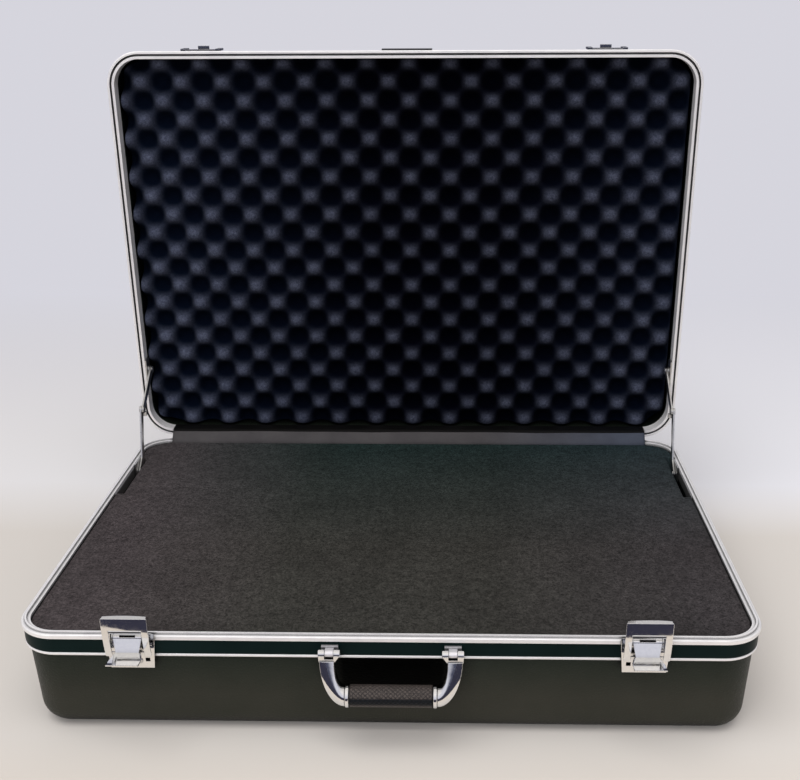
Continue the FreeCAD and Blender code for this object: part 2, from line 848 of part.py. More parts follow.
def latch_lever(x):
    """The release lever: a barrel on the pin, a tapered plate, two cheeks and a finger lip."""
    outer, inner = lever_spots()
    barrel = cross_rod(x, lever_width, lever_barrel_radius, lever_pivot_out, lever_pivot_up)
    plate = side_profile([outer[0], outer[1], inner[1], inner[0]], x, lever_width)
    for side in (-1, 1):
        plate = plate.cut(side_wedge(x, side, lever_width / 2, lever_neck_width / 2,
                                     lever_pivot_up, lever_crease_up))
    parts = [plate, lever_lip(x, outer, inner)]
    for side in (-1, 1):
        parts.append(lever_cheek(x, side))
    solid = barrel.fuse(parts)
    bore = latch_pin_radius + running_clearance
    solid = solid.cut(cross_rod(x, 2 * lever_width, bore, lever_pivot_out, lever_pivot_up))
    solid = solid.cut(cross_rod(x, 2 * lever_width, latch_pin_radius, hasp_pivot_out, hasp_pivot_up))
    slot_out = lever_pivot_out + lever_barrel_radius
    half_slot = lever_slot_height / 2
    slot = front_plate(x, lever_slot_width, slot_out - lever_slot_depth, slot_out + cut_overrun,
                       lever_pivot_up - half_slot, lever_pivot_up + half_slot)
    slot = turned_out(slot, x, lever_pivot_out, lever_pivot_up, lever_slot_angle)
    return turned_out(one_solid(solid.cut(slot)), x, lever_pivot_out, lever_pivot_up,
                      lever_rest_lift)


def hasp_pin(x):
    length = lever_neck_width + 2 * (touch_gap + hasp_ear_thickness)
    pin = cross_rod(x, length, latch_pin_radius, hasp_pivot_out, hasp_pivot_up)
    return turned_out(pin, x, lever_pivot_out, lever_pivot_up, lever_rest_lift)


def hasp_spot(out, up):
    """A place on the hasp, measured from the foot of its inner face beside the pin."""
    return (hasp_pivot_out + hasp_panel_out + out, hasp_pivot_up + up)


def hasp_frame(x):
    """The bowed panel of a hasp with its corners rounded and its window cut."""
    t = hasp_thickness
    low, high = -hasp_foot_drop, hasp_height
    middle = (low + high) / 2
    x0 = x - hasp_width / 2
    inner = [hasp_spot(zero, low), hasp_spot(hasp_bulge, middle), hasp_spot(zero, high)]
    outer = [hasp_spot(t, high), hasp_spot(t + hasp_bulge, middle), hasp_spot(t, low)]
    places_in = [out_point(x0, *spot) for spot in inner]
    places_out = [out_point(x0, *spot) for spot in outer]
    edges = [
        Part.Arc(*places_in).toShape(),
        Part.LineSegment(places_in[-1], places_out[0]).toShape(),
        Part.Arc(*places_out).toShape(),
        Part.LineSegment(places_out[-1], places_in[0]).toShape(),
    ]
    panel = Part.Face(Part.Wire(edges)).extrude(X * hasp_width)
    back = hasp_spot(-cut_overrun, zero)[0]
    fore = hasp_spot(cut_overrun + hasp_bulge, zero)[0]
    rounded = front_plate(x, hasp_width, back, fore, hasp_pivot_up + low, hasp_pivot_up + high,
                          hasp_corner_radius)
    window = front_plate(x, hasp_window_width, back, fore, hasp_pivot_up + low - cut_overrun,
                         hasp_pivot_up + hasp_window_top)
    return panel.common(rounded).cut(window)


def hasp_hook(x):
    """The hooked upper edge of a hasp, deepest in its middle."""
    half = hasp_width / 2 - hasp_corner_radius
    out, up = hasp_spot(hasp_thickness, hasp_height - hasp_thickness)
    ends = [out_point(x + side * half, out - hasp_lip_side_depth, up) for side in (-1, 1)]
    backs = [out_point(x + side * half, out, up) for side in (-1, 1)]
    edges = [
        Part.Arc(ends[0], out_point(x, out - hasp_lip_depth, up), ends[1]).toShape(),
        Part.LineSegment(ends[1], backs[1]).toShape(),
        Part.LineSegment(backs[1], backs[0]).toShape(),
        Part.LineSegment(backs[0], ends[0]).toShape(),
    ]
    return Part.Face(Part.Wire(edges)).extrude(Z * hasp_thickness)


def latch_hasp(x):
    """The pull frame: a bowed panel with a window, a hooked top and two ears on the pin."""
    parts = [hasp_hook(x)]
    low, high = hasp_pivot_up - hasp_ear_radius, hasp_pivot_up + hasp_ear_radius
    face_in = hasp_pivot_out + hasp_panel_out
    face_out = face_in + hasp_thickness
    ear_start = lever_neck_width / 2 + touch_gap
    arm_middle = (hasp_window_width + hasp_width) / 2 / 2
    for side in (-1, 1):
        ear_x = x + side * (ear_start + hasp_ear_thickness / 2)
        bridge_x = x + side * (ear_start + arm_middle) / 2
        parts.append(cross_rod(ear_x, hasp_ear_thickness, hasp_ear_radius,
                               hasp_pivot_out, hasp_pivot_up))
        parts.append(front_plate(ear_x, hasp_ear_thickness, hasp_pivot_out, face_out, low, high))
        parts.append(front_plate(bridge_x, arm_middle - ear_start, face_in, face_out, low, high))
    solid = hasp_frame(x).fuse(parts)
    bore = latch_pin_radius + running_clearance
    solid = solid.cut(cross_rod(x, hasp_width, bore, hasp_pivot_out, hasp_pivot_up))
    solid = turned_out(one_solid(solid), x, hasp_pivot_out, hasp_pivot_up, -hasp_rest_lean)
    solid.translate(turned_pivot() - out_point(zero, hasp_pivot_out, hasp_pivot_up))
    return solid


def turned_pivot():
    """Where the hasp's pivot lies at rest, with the lever a little lifted."""
    mark = Part.Vertex(out_point(zero, hasp_pivot_out, hasp_pivot_up))
    mark.rotate(out_point(zero, lever_pivot_out, lever_pivot_up), X, -lever_rest_lift)
    return mark.Point


def latch_rivets():
    """The rivet heads of both latch plates, behind the levers."""
    heads = []
    for x in (-latch_spacing / 2, latch_spacing / 2):
        for side in (-1, 1):
            spot = out_point(x + side * latch_rivet_spacing / 2, latch_plate_thickness,
                             latch_rivet_up)
            heads.append(rivet_head(spot, -Y))
    return Part.makeCompound(heads)


def latch_strike(x):
    """The catch on the lid's front: a strip with two ears and a ledge for the hasp."""
    t = strike_thickness
    ledge_top = hasp_pivot_up + hasp_height - hasp_thickness - strike_tab_gap
    parts = [front_plate(x, strike_width, zero, t, strike_low, ledge_top)]
    for side in (-1, 1):
        ear_x = x + side * (strike_width - strike_ear_width) / 2
        parts.append(front_plate(ear_x, strike_ear_width, zero, strike_ear_out,
                                 strike_low, ledge_top))
    parts.append(front_plate(x, strike_tab_width, zero, strike_tab_out, ledge_top - t, ledge_top))
    return opened(fused(parts))


def lid_plate():
    return opened(front_plate(front_middle_x, plate_width, zero, plate_thickness,
                              plate_low, plate_high, plate_thickness))


def post_positions():
    half = handle_post_spacing / 2
    return front_middle_x - half, front_middle_x + half


def handle_post(x):
    """A mount on the valance: a flat tab and a rounded tongue with the pin's bore."""
    up = handle_pivot_up
    half = handle_tab_height / 2
    tab = front_plate(x, handle_tab_width, -band_face, handle_tab_thickness,
                      handle_tab_up - half, handle_tab_up + half)
    root = front_plate(x, handle_tongue_width, zero, handle_pivot_out,
                       up - handle_tongue_radius, up + handle_tongue_radius)
    nose = cross_rod(x, handle_tongue_width, handle_tongue_radius, handle_pivot_out, up)
    bore = cross_rod(x, handle_fork_width, handle_pin_radius, handle_pivot_out, up)
    return one_solid(tab.fuse([root, nose]).cut(bore))


def handle_pin(x):
    length = handle_fork_width - 2 * touch_gap
    return cross_rod(x, length, handle_pin_radius, handle_pivot_out, handle_pivot_up)


def arm_section(middle, across, half_depth, corner_share):
    """A closed section of four arcs, whose corners reach a share of its half sizes."""
    half = across / 2
    deep = Y * min(half_depth, half.Length)
    marks = [middle - deep, middle - half, middle + deep, middle + half]
    corners = []
    for wide, far in ((1, -1), (-1, -1), (-1, 1), (1, 1)):
        corners.append(middle + (half * wide + deep * far) * corner_share)
    edges = []
    for index, mark in enumerate(marks):
        edges.append(Part.Arc(corners[index], mark, corners[(index + 1) % 4]).toShape())
    return Part.Wire(edges)


def arm_loft(end_x, outer_x, inner_x, top_up):
    """The curved body of a handle arm, swept from its neck round into the grip's end.

    Its outer and inner outlines are quarter ellipses and its section swells along them."""
    grip_up = handle_pivot_up - handle_drop
    radius = handle_arm_end_radius
    outer_tall = top_up - (grip_up - radius)
    inner_tall = top_up - (grip_up + radius)
    sections = []
    for share in handle_station_shares:
        turn = share * math.pi / 2
        outer = out_point(end_x + (outer_x - end_x) * math.cos(turn), zero,
                          top_up - outer_tall * math.sin(turn))
        inner = out_point(end_x + (inner_x - end_x) * math.cos(turn), zero,
                          top_up - inner_tall * math.sin(turn))
        middle = (outer + inner) / 2
        drop = (rim + handle_pivot_up - middle.z) / handle_drop
        middle.y = front - handle_pivot_out - (handle_grip_out - handle_pivot_out) * drop
        half_depth = handle_arm_depth / 2 + (radius - handle_arm_depth / 2) * share
        corner_share = (handle_top_corner_share * (1 - share)
                        + handle_end_corner_share * share)
        sections.append(arm_section(middle, outer - inner, half_depth, corner_share))
    return Part.makeLoft(sections, True, False)


def arm_neck(post, outer_x, inner_x, top_up):
    """The forked neck above a handle arm: it spreads from the arm to both sides of the post."""
    half_d = handle_arm_depth / 2 - touch_gap
    half_fork = handle_fork_width / 2
    low = top_up - handle_neck_lap
    wire = [out_point(x, handle_pivot_out + half_d, up) for x, up in [
        (post + half_fork, handle_pivot_up), (post - half_fork, handle_pivot_up),
        (inner_x + touch_gap, low), (outer_x - touch_gap, low)]]
    neck = Part.Face(Part.makePolygon(wire + wire[:1])).extrude(Y * (2 * half_d))
    eye = cross_rod(post, handle_fork_width, handle_fork_radius, handle_pivot_out, handle_pivot_up)
    return neck.fuse(eye)


def handle_arm(side):
    """One end of the handle: a fork on the pin, a curved arm and a socket for the core."""
    post = handle_post_spacing / 2
    top_up = handle_pivot_up - handle_arm_top_drop
    end_x = handle_grip_length / 2 + handle_collar_room
    outer_x = post + handle_fork_width / 2 - handle_arm_lean
    inner_x = outer_x - handle_arm_width
    solid = arm_loft(end_x, outer_x, inner_x, top_up)
    solid = solid.fuse(arm_neck(post, outer_x, inner_x, top_up))
    gap = handle_tongue_width + 2 * touch_gap
    sweep = handle_tongue_radius + touch_gap
    high = handle_pivot_up + handle_fork_radius + cut_overrun
    behind = handle_pivot_out - handle_arm_depth
    ahead = handle_pivot_out + handle_arm_depth
    solid = solid.cut(front_plate(post, gap, behind, ahead, handle_pivot_up - sweep, high))
    bore = handle_pin_radius + running_clearance
    solid = solid.cut(cross_rod(post, 2 * handle_fork_width, bore, handle_pivot_out,
                                handle_pivot_up))
    grip_up = handle_pivot_up - handle_drop
    socket = rod(handle_core_radius + running_clearance,
                 out_point(end_x - cut_overrun, handle_grip_out, grip_up),
                 out_point(end_x + handle_socket_depth, handle_grip_out, grip_up))
    arm = mirrored(one_solid(solid.cut(socket)), side)
    arm.translate(X * front_middle_x)
    return arm


def handle_tube(x0, x1, radius):
    up = handle_pivot_up - handle_drop
    tube = rod(radius, out_point(front_middle_x + x0, handle_grip_out, up),
               out_point(front_middle_x + x1, handle_grip_out, up))
    bore = rod(handle_core_radius + running_clearance,
               out_point(front_middle_x + x0 - cut_overrun, handle_grip_out, up),
               out_point(front_middle_x + x1 + cut_overrun, handle_grip_out, up))
    return one_solid(tube.cut(bore))


def handle_grip():
    half = handle_grip_length / 2
    return handle_tube(-half, half, handle_grip_radius)


def handle_collar(side):
    """A ring between the grip and an arm, with rounded outer edges."""
    near = handle_grip_length / 2 + handle_collar_gap
    far = handle_grip_length / 2 + handle_collar_room - handle_collar_gap
    x0, x1 = sorted((side * near, side * far))
    ring = handle_tube(x0, x1, handle_collar_radius)
    rims = [edge for edge in ring.Edges
            if len(edge.Vertexes) == 1 and edge.BoundBox.ZLength > handle_grip_radius]
    return ring.makeFillet(handle_collar_round, rims)


def handle_core():
    half = handle_grip_length / 2 + handle_collar_room + handle_socket_depth
    up = handle_pivot_up - handle_drop
    return rod(handle_core_radius, out_point(front_middle_x - half, handle_grip_out, up),
               out_point(front_middle_x + half, handle_grip_out, up))


def all_pieces():
    """Every node of the case with its solid, or its group of like solids."""
    pieces = {
        "base_shell": base_shell(),
        "base_valance": base_valance(),
        "base_valance_band": base_band(),
        "base_foam_top": base_foam_top(),
        "base_foam_bottom": base_foam_bottom(),
        "hinge_base_leaf": hinge_leaf(-1, 0),
        "hinge_base_rivets": hinge_rivet_row(-1),
        "hinge_pin": hinge_pin(),
        "hinge_cover": hinge_cover(),
        "lid_shell": opened(lid_shell()),
        "lid_valance": opened(lid_valance()),
        "lid_valance_band": opened(lid_band()),
        "lid_foam": opened(lid_foam()),
        "hinge_lid_leaf": opened(hinge_leaf(1, 1)),
        "hinge_lid_rivets": opened(hinge_rivet_row(1)),
        "lid_plate": lid_plate(),
        "latch_rivets": latch_rivets(),
        "handle_grip": handle_grip(),
        "handle_core": handle_core(),
    }
    left_post, right_post = post_positions()
    for side, name, post in ((-1, "left", left_post), (1, "right", right_post)):
        latch_x = side * latch_spacing / 2
        pieces["stay_base_bracket_" + name] = stay_base_bracket(side)
        pieces["stay_lower_arm_" + name] = stay_lower_arm(side)
        pieces["stay_upper_arm_" + name] = stay_upper_arm(side)
        pieces["stay_lid_bracket_" + name] = stay_lid_bracket(side)
        pieces["latch_plate_" + name] = latch_plate(latch_x)
        pieces["latch_lever_" + name] = latch_lever(latch_x)
        pieces["latch_lever_pin_" + name] = lever_pin(latch_x)
        pieces["latch_hasp_" + name] = latch_hasp(latch_x)
        pieces["latch_hasp_pin_" + name] = hasp_pin(latch_x)
        pieces["latch_strike_" + name] = latch_strike(latch_x)
        pieces["handle_post_" + name] = handle_post(post)
        pieces["handle_pin_" + name] = handle_pin(post)
        pieces["handle_arm_" + name] = handle_arm(side)
        pieces["handle_collar_" + name] = handle_collar(side)
    return pieces


def main():
    os.makedirs("parts", exist_ok=True)
    for name, shape in all_pieces().items():
        assert shape.isValid(), name
        shape.exportStep("parts/" + name + ".step")
        print(name, len(shape.Solids), round(shape.Volume / 1000, 2), "cm3")


main()
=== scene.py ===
import json
import math

import bmesh
import bpy
import numpy as np
from mathutils import Matrix, Vector


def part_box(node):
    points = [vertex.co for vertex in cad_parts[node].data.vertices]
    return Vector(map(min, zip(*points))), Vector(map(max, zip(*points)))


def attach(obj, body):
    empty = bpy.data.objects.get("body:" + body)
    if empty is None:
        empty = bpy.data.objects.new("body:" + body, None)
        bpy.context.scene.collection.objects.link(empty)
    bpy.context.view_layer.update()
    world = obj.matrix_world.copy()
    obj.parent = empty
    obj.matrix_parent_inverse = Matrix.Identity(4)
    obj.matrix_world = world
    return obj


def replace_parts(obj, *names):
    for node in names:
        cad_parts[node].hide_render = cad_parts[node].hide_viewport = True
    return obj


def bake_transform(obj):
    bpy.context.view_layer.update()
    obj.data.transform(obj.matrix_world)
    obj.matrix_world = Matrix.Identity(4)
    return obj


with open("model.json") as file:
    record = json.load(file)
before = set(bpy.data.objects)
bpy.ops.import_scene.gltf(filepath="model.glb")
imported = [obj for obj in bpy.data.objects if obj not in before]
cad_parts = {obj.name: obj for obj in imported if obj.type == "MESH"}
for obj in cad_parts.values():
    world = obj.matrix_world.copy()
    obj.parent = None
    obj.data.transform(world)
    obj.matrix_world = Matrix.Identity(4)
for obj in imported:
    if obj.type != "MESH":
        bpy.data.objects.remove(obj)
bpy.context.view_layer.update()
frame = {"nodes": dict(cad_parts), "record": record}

# A wide hard case lying open: grained black shells, bright rims, foam linings and chrome fittings.

nodes = frame["nodes"]

MM = 0.001
GRIP_MIDDLE, GRIP_HEIGHT = 4.5 * MM, 61.5 * MM  # the grip's middle in X and Z
LATCH_X = 250.25 * MM                           # the latches' middles, left and right
BARREL_Y, BARREL_Z = -259.5 * MM, 118.7 * MM    # the latch levers' barrels
BARREL_SLOT_LEAN = math.radians(40)
FOAM_HALF_X, FOAM_HALF_Y, FOAM_CORNER = 359.1 * MM, 243.6 * MM, 31.1 * MM
STAY_RELIEF = (200.5 * MM, 126 * MM)            # the pad's cuts: back end in Y, length
EGG_PITCH = (26.2 * MM, 23.9 * MM)              # from a foam peak to the next hollow, X and Z
EGG_PHASE = (-19.7 * MM, 114.05 * MM)           # where one foam peak stands, X and Z
WHITE = (1.0, 1.0, 1.0)
WALL_TONE = (0.67, 0.665, 0.725)


# Building materials

def material(name):
    """An empty material, its node tree and its main shader."""
    made = bpy.data.materials.new(name)
    made.use_nodes = True
    tree = made.node_tree
    tree.nodes.clear()
    output = tree.nodes.new("ShaderNodeOutputMaterial")
    shader = tree.nodes.new("ShaderNodeBsdfPrincipled")
    tree.links.new(shader.outputs["BSDF"], output.inputs["Surface"])
    return made, tree, shader


def add(tree, kind, values=(), **settings):
    """A node with its settings and its unlinked socket values."""
    node = tree.nodes.new("ShaderNode" + kind)
    for key, value in settings.items():
        setattr(node, key, value)
    for socket, value in dict(values).items():
        node.inputs[socket].default_value = value
    return node


def feed(tree, socket, value):
    """Sets a socket to a number or a colour, or links it to another socket."""
    if isinstance(value, (int, float)):
        socket.default_value = value
    elif isinstance(value, tuple):
        socket.default_value = (*value, 1)
    else:
        tree.links.new(value, socket)


def place(tree, scale=(1, 1, 1)):
    """The piece's own coordinates, stretched."""
    coordinates = add(tree, "TexCoord")
    mapping = add(tree, "Mapping", {"Scale": scale})
    tree.links.new(coordinates.outputs["Object"], mapping.inputs["Vector"])
    return mapping.outputs["Vector"]


def noise(tree, vector, scale, detail=3.0, roughness=0.55):
    """Soft cloudy variation from 0 to 1."""
    node = add(tree, "TexNoise", {"Scale": scale, "Detail": detail, "Roughness": roughness})
    tree.links.new(vector, node.inputs["Vector"])
    return node.outputs["Fac"]


def cells(tree, vector, scale, feature="F1", randomness=1.0):
    """Distance within a pattern of rounded cells."""
    node = add(tree, "TexVoronoi", {"Scale": scale, "Randomness": randomness}, feature=feature)
    tree.links.new(vector, node.inputs["Vector"])
    return node.outputs["Distance"]


def between(tree, value, low, high, to_low=0.0, to_high=1.0):
    """A value carried from one range to another and held there."""
    node = add(tree, "MapRange", {"From Min": low, "From Max": high,
                                  "To Min": to_low, "To Max": to_high})
    tree.links.new(value, node.inputs["Value"])
    return node.outputs["Result"]


def maths(tree, operation, first, second):
    """Two values joined by one sum; either may be a plain number."""
    node = add(tree, "Math", operation=operation)
    feed(tree, node.inputs[0], first)
    feed(tree, node.inputs[1], second)
    return node.outputs["Value"]


def product(tree, *values):
    """Several values multiplied."""
    result = values[0]
    for value in values[1:]:
        result = maths(tree, "MULTIPLY", result, value)
    return result


def blended(tree, factor, first, second, blend_type="MIX"):
    """A colour that runs from one to another with a factor."""
    node = add(tree, "Mix", data_type="RGBA", blend_type=blend_type)
    feed(tree, node.inputs["Factor"], factor)
    feed(tree, node.inputs["A"], first)
    feed(tree, node.inputs["B"], second)
    return node.outputs["Result"]


def dimmed(tree, colour, *factors):
    """A colour times factors or other colours."""
    for factor in factors:
        colour = blended(tree, 1.0, colour, factor, "MULTIPLY")
    return colour


def bumped(tree, shader, heights, rounding=0.0):
    """Relief from (height, strength, distance) rows, over edges rounded by a small radius."""
    normal = None
    if rounding:
        soft = add(tree, "Bevel", {"Radius": rounding}, samples=6)
        normal = soft.outputs["Normal"]
    for height, strength, distance in heights:
        bump = add(tree, "Bump", {"Strength": strength, "Distance": distance})
        tree.links.new(height, bump.inputs["Height"])
        if normal is not None:
            tree.links.new(normal, bump.inputs["Normal"])
        normal = bump.outputs["Normal"]
    if normal is not None:
        tree.links.new(normal, shader.inputs["Normal"])


def crevice_shade(tree, reach, darkest, full=0.90):
    """A factor of painted shade that falls from 1 to its darkest deep inside gaps narrower than the
    reach.
    """
    node = add(tree, "AmbientOcclusion", {"Distance": reach}, samples=8)
    return between(tree, node.outputs["AO"], 0.35, full, darkest, 1.0)


def attribute(tree, name):
    """A value that the piece's mesh carries at each point."""
    return add(tree, "Attribute", attribute_name=name).outputs["Fac"]


def split_place(tree):
    """The piece's own coordinates as separate X, Y and Z."""
    split = add(tree, "SeparateXYZ")
    tree.links.new(place(tree), split.inputs["Vector"])
    return [split.outputs[axis] for axis in "XYZ"]


def near_value(tree, value, middle, full, none):
    """A factor of 1 within one distance of a middle value, falling to 0 at a wider distance."""
    away = maths(tree, "ABSOLUTE", maths(tree, "SUBTRACT", value, middle), 0.0)
    return between(tree, away, full, none, 1.0, 0.0)


def grained_plastic():
    """Black moulded plastic with a leather-like grain of small raised cells.

    Its upper part is darker than its lower part, and the field behind the grip has a painted
    shadow that makes it nearly black.
    """
    made, tree, shader = material("grained_plastic")
    spot = place(tree)
    warp = add(tree, "TexNoise", {"Scale": 160.0, "Detail": 2.0})
    tree.links.new(spot, warp.inputs["Vector"])
    shift = add(tree, "VectorMath", {1: (0.0022, 0.0022, 0.0022)}, operation="MULTIPLY")
    tree.links.new(warp.outputs["Color"], shift.inputs[0])
    moved = add(tree, "VectorMath", operation="ADD")
    tree.links.new(spot, moved.inputs[0])
    tree.links.new(shift.outputs["Vector"], moved.inputs[1])
    edges = cells(tree, moved.outputs["Vector"], 330.0, "DISTANCE_TO_EDGE")
    pebbles = between(tree, edges, 0.0, 0.35)
    small = cells(tree, moved.outputs["Vector"], 900.0, "SMOOTH_F1")
    cloud = noise(tree, spot, 9.0, 4.0)
    colour = blended(tree, between(tree, cloud, 0.35, 0.65),
                     (0.0200, 0.0208, 0.0148), (0.0285, 0.0280, 0.0210))
    across, deep, up = split_place(tree)
    upper = blended(tree, between(tree, up, 0.045, 0.088), WHITE, (0.44, 0.62, 0.58))
    # painted shadow: the field behind the grip, between the handle's arms, goes nearly black, and
    # is made metallic with that black colour so that it keeps little shine
    smooth = product(tree, near_value(tree, across, GRIP_MIDDLE, 0.048, 0.062),
                     between(tree, up, 0.036, 0.058),
                     between(tree, deep, -0.230, -0.225, 1.0, 0.0))
    undarkened = maths(tree, "SUBTRACT", 1.0, product(tree, smooth, 0.97))
    # painted shade in gaps and recesses
    shade = product(tree, undarkened, crevice_shade(tree, 0.022, 0.10))
    tree.links.new(dimmed(tree, colour, upper, shade), shader.inputs["Base Color"])
    tree.links.new(product(tree, smooth, 0.9), shader.inputs["Metallic"])
    shader.inputs["Specular IOR Level"].default_value = 0.2
    rough = maths(tree, "ADD", between(tree, pebbles, 0.0, 1.0, 0.52, 0.40),
                  between(tree, cloud, 0.3, 0.7, -0.03, 0.05))
    tree.links.new(rough, shader.inputs["Roughness"])
    bumped(tree, shader, [(pebbles, 0.55, 0.00035), (small, 0.25, 0.00012)])
    return made


def rim_metal(name, lines, darker_below=-1.0):
    """Satin aluminium with faint die lines along the rim; they vary across the given axis.

    Walls that face the case's middle are darker below the given height.
    """
    made, tree, shader = material(name)
    spot = place(tree, lines)
    streaks = noise(tree, spot, 1.0, 4.0, 0.7)
    plain = noise(tree, place(tree), 60.0, 3.0)
    shader.inputs["Metallic"].default_value = 0.50
    colour = blended(tree, between(tree, plain, 0.3, 0.7), (0.86, 0.85, 0.86), (0.94, 0.93, 0.93))
    across, deep, up = split_place(tree)
    facing = add(tree, "VectorMath", operation="DOT_PRODUCT")
    flat = add(tree, "CombineXYZ")
    tree.links.new(across, flat.inputs["X"])
    tree.links.new(deep, flat.inputs["Y"])
    tree.links.new(flat.outputs["Vector"], facing.inputs[0])
    tree.links.new(add(tree, "NewGeometry").outputs["Normal"], facing.inputs[1])
    inward = between(tree, facing.outputs["Value"], -0.12, -0.06, 1.0, 0.0)
    low = between(tree, up, darker_below - 0.0002, darker_below, 1.0, 0.0)
    undarkened = maths(tree, "SUBTRACT", 1.0, product(tree, inward, low, 0.87))
    # painted shade in the rim's grooves and narrow gaps
    shade = product(tree, crevice_shade(tree, 0.005, 0.04), undarkened)
    tree.links.new(dimmed(tree, colour, shade), shader.inputs["Base Color"])
    rough = maths(tree, "ADD", between(tree, streaks, 0.3, 0.7, 0.34, 0.42),
                  between(tree, plain, 0.4, 0.7, 0.0, 0.04))
    tree.links.new(rough, shader.inputs["Roughness"])
    bumped(tree, shader, [(streaks, 0.05, 0.00003)], 0.0004)
    return made


def band_plastic():
    """The smooth dark strip in the rim's channel, with the faint draw marks of its making."""
    made, tree, shader = material("band_plastic")
    cloud = noise(tree, place(tree), 14.0, 4.0)
    fine = noise(tree, place(tree), 700.0, 2.0)
    colour = blended(tree, between(tree, cloud, 0.35, 0.65),
                     (0.0022, 0.0082, 0.0080), (0.0040, 0.0120, 0.0118))
    tree.links.new(colour, shader.inputs["Base Color"])
    rough = between(tree, cloud, 0.3, 0.7, 0.34, 0.46)
    tree.links.new(rough, shader.inputs["Roughness"])
    shader.inputs["Specular IOR Level"].default_value = 0.06
    bumped(tree, shader, [(fine, 0.10, 0.00005)])
    return made


def foam_cloth(name, low, high):
    """Open-celled foam: tiny dark pores, lighter cut cell walls and slow cloudy shading."""
    made, tree, shader = material(name)
    spot = place(tree)
    pores = cells(tree, spot, 900.0)
    walls = between(tree, pores, 0.15, 0.75)
    grain = noise(tree, spot, 330.0, 4.0, 0.7)
    cloud = noise(tree, spot, 11.0, 3.0)
    mixed = maths(tree, "ADD", product(tree, between(tree, grain, 0.32, 0.68), 0.6),
                  product(tree, walls, 0.4))
    mixed = product(tree, mixed, between(tree, cloud, 0.3, 0.7, 0.82, 1.12))
    colour = blended(tree, mixed, low, high)
    tree.links.new(colour, shader.inputs["Base Color"])
    shader.inputs["Roughness"].default_value = 0.95
    shader.inputs["Specular IOR Level"].default_value = 0.05
    bumped(tree, shader, [(grain, 0.6, 0.0006), (walls, 0.5, 0.0003)])
    return made, tree, shader, colour


def flat_foam():
    """The base's foam: painted shade makes it darker and greener at the back, and painted light
    makes it paler and redder at both sides.
    """
    made, tree, shader, colour = foam_cloth("base_foam_cells",
                                            (0.004, 0.0045, 0.0040), (0.057, 0.055, 0.049))
    across, deep, _ = split_place(tree)
    # painted shade at the back, weaker towards the far left
    back = product(tree, between(tree, deep, -0.06, 0.25),
                   between(tree, across, -0.33, -0.08, 0.1, 1.0))
    back_shade = blended(tree, back, WHITE, (0.36, 0.69, 0.75))
    # painted light at the left and right sides
    left = blended(tree, between(tree, across, -0.31, -0.12), (1.58, 1.38, 1.60), WHITE)
    right = blended(tree, between(tree, across, 0.10, 0.32), WHITE, (1.22, 1.13, 1.32))
    uneven = between(tree, noise(tree, place(tree), 120.0, 2.0), 0.35, 0.65, 0.84, 1.14)
    tree.links.new(dimmed(tree, colour, back_shade, left, right, uneven), shader.inputs["Base Color"])
    return made


def egg_foam():
    """The lid's foam: painted light on its cut peaks and painted shade in its hollows.

    The middle of the sheet has painted shade: it is darker and has more contrast than its sides,
    which have painted light.
    """
    made, tree, shader, colour = foam_cloth("lid_foam_cells",
                                            (0.009, 0.0105, 0.018), (0.068, 0.075, 0.106))
    # painted light and shade: lighter peaks and darker hollows, lighter sides and a darker middle
    middle = near_value(tree, split_place(tree)[0], 0.05, 0.08, 0.40)
    depth = maths(tree, "POWER", between(tree, attribute(tree, "peak_share"), 0.28, 0.95),
                  between(tree, middle, 0.0, 1.0, 1.55, 2.7))
    lit = dimmed(tree, colour, product(tree, depth, between(tree, middle, 0.0, 1.0, 1.22, 0.74)))
    hollow = blended(tree, middle, (0.0012, 0.0030, 0.0085), (0.0001, 0.0003, 0.0020))
    tree.links.new(blended(tree, 1.0, lit, hollow, "ADD"), shader.inputs["Base Color"])
    return made


def slot_shade(tree):
    """A factor of painted shade, 0 inside the slot of each latch lever's barrel and 1 elsewhere.

    The slot is known by its place: how far out it lies from the barrel's middle along its own
    slanting direction, and how far from the latch's middle across the case.
    """
    across, deep, up = split_place(tree)
    above = maths(tree, "SUBTRACT", up, BARREL_Z)
    inside = maths(tree, "SUBTRACT", deep, BARREL_Y)
    lean, rest = math.sin(BARREL_SLOT_LEAN), math.cos(BARREL_SLOT_LEAN)
    out = maths(tree, "SUBTRACT", product(tree, above, lean), product(tree, inside, rest))
    aside = maths(tree, "ADD", product(tree, above, rest), product(tree, inside, lean))
    from_middle = maths(tree, "ABSOLUTE", across, 0.0)
    within = product(tree, near_value(tree, out, 2.40 * MM, 0.45 * MM, 0.50 * MM),
                     near_value(tree, aside, 0.0, 1.23 * MM, 1.28 * MM),
                     near_value(tree, from_middle, LATCH_X, 7.80 * MM, 7.85 * MM))
    return maths(tree, "SUBTRACT", 1.0, product(tree, within, 0.985))


def bright_chrome():
    """Mirror plating with the slight waviness of pressed parts and a few dull patches."""
    made, tree, shader = material("bright_chrome")
    spot = place(tree)
    wave = noise(tree, spot, 60.0, 2.0)
    dull = noise(tree, spot, 300.0, 4.0, 0.6)
    shader.inputs["Metallic"].default_value = 1.0
    colour = blended(tree, between(tree, dull, 0.35, 0.7), (0.86, 0.86, 0.87), (0.93, 0.93, 0.92))
    # painted shade in narrow gaps and in the barrels' slots
    dark = product(tree, crevice_shade(tree, 0.006, 0.03, 0.93), slot_shade(tree))
    tree.links.new(dimmed(tree, colour, dark), shader.inputs["Base Color"])
    tree.links.new(between(tree, dull, 0.4, 0.75, 0.05, 0.13), shader.inputs["Roughness"])
    bumped(tree, shader, [(wave, 0.10, 0.0006)], 0.0007)
    return made


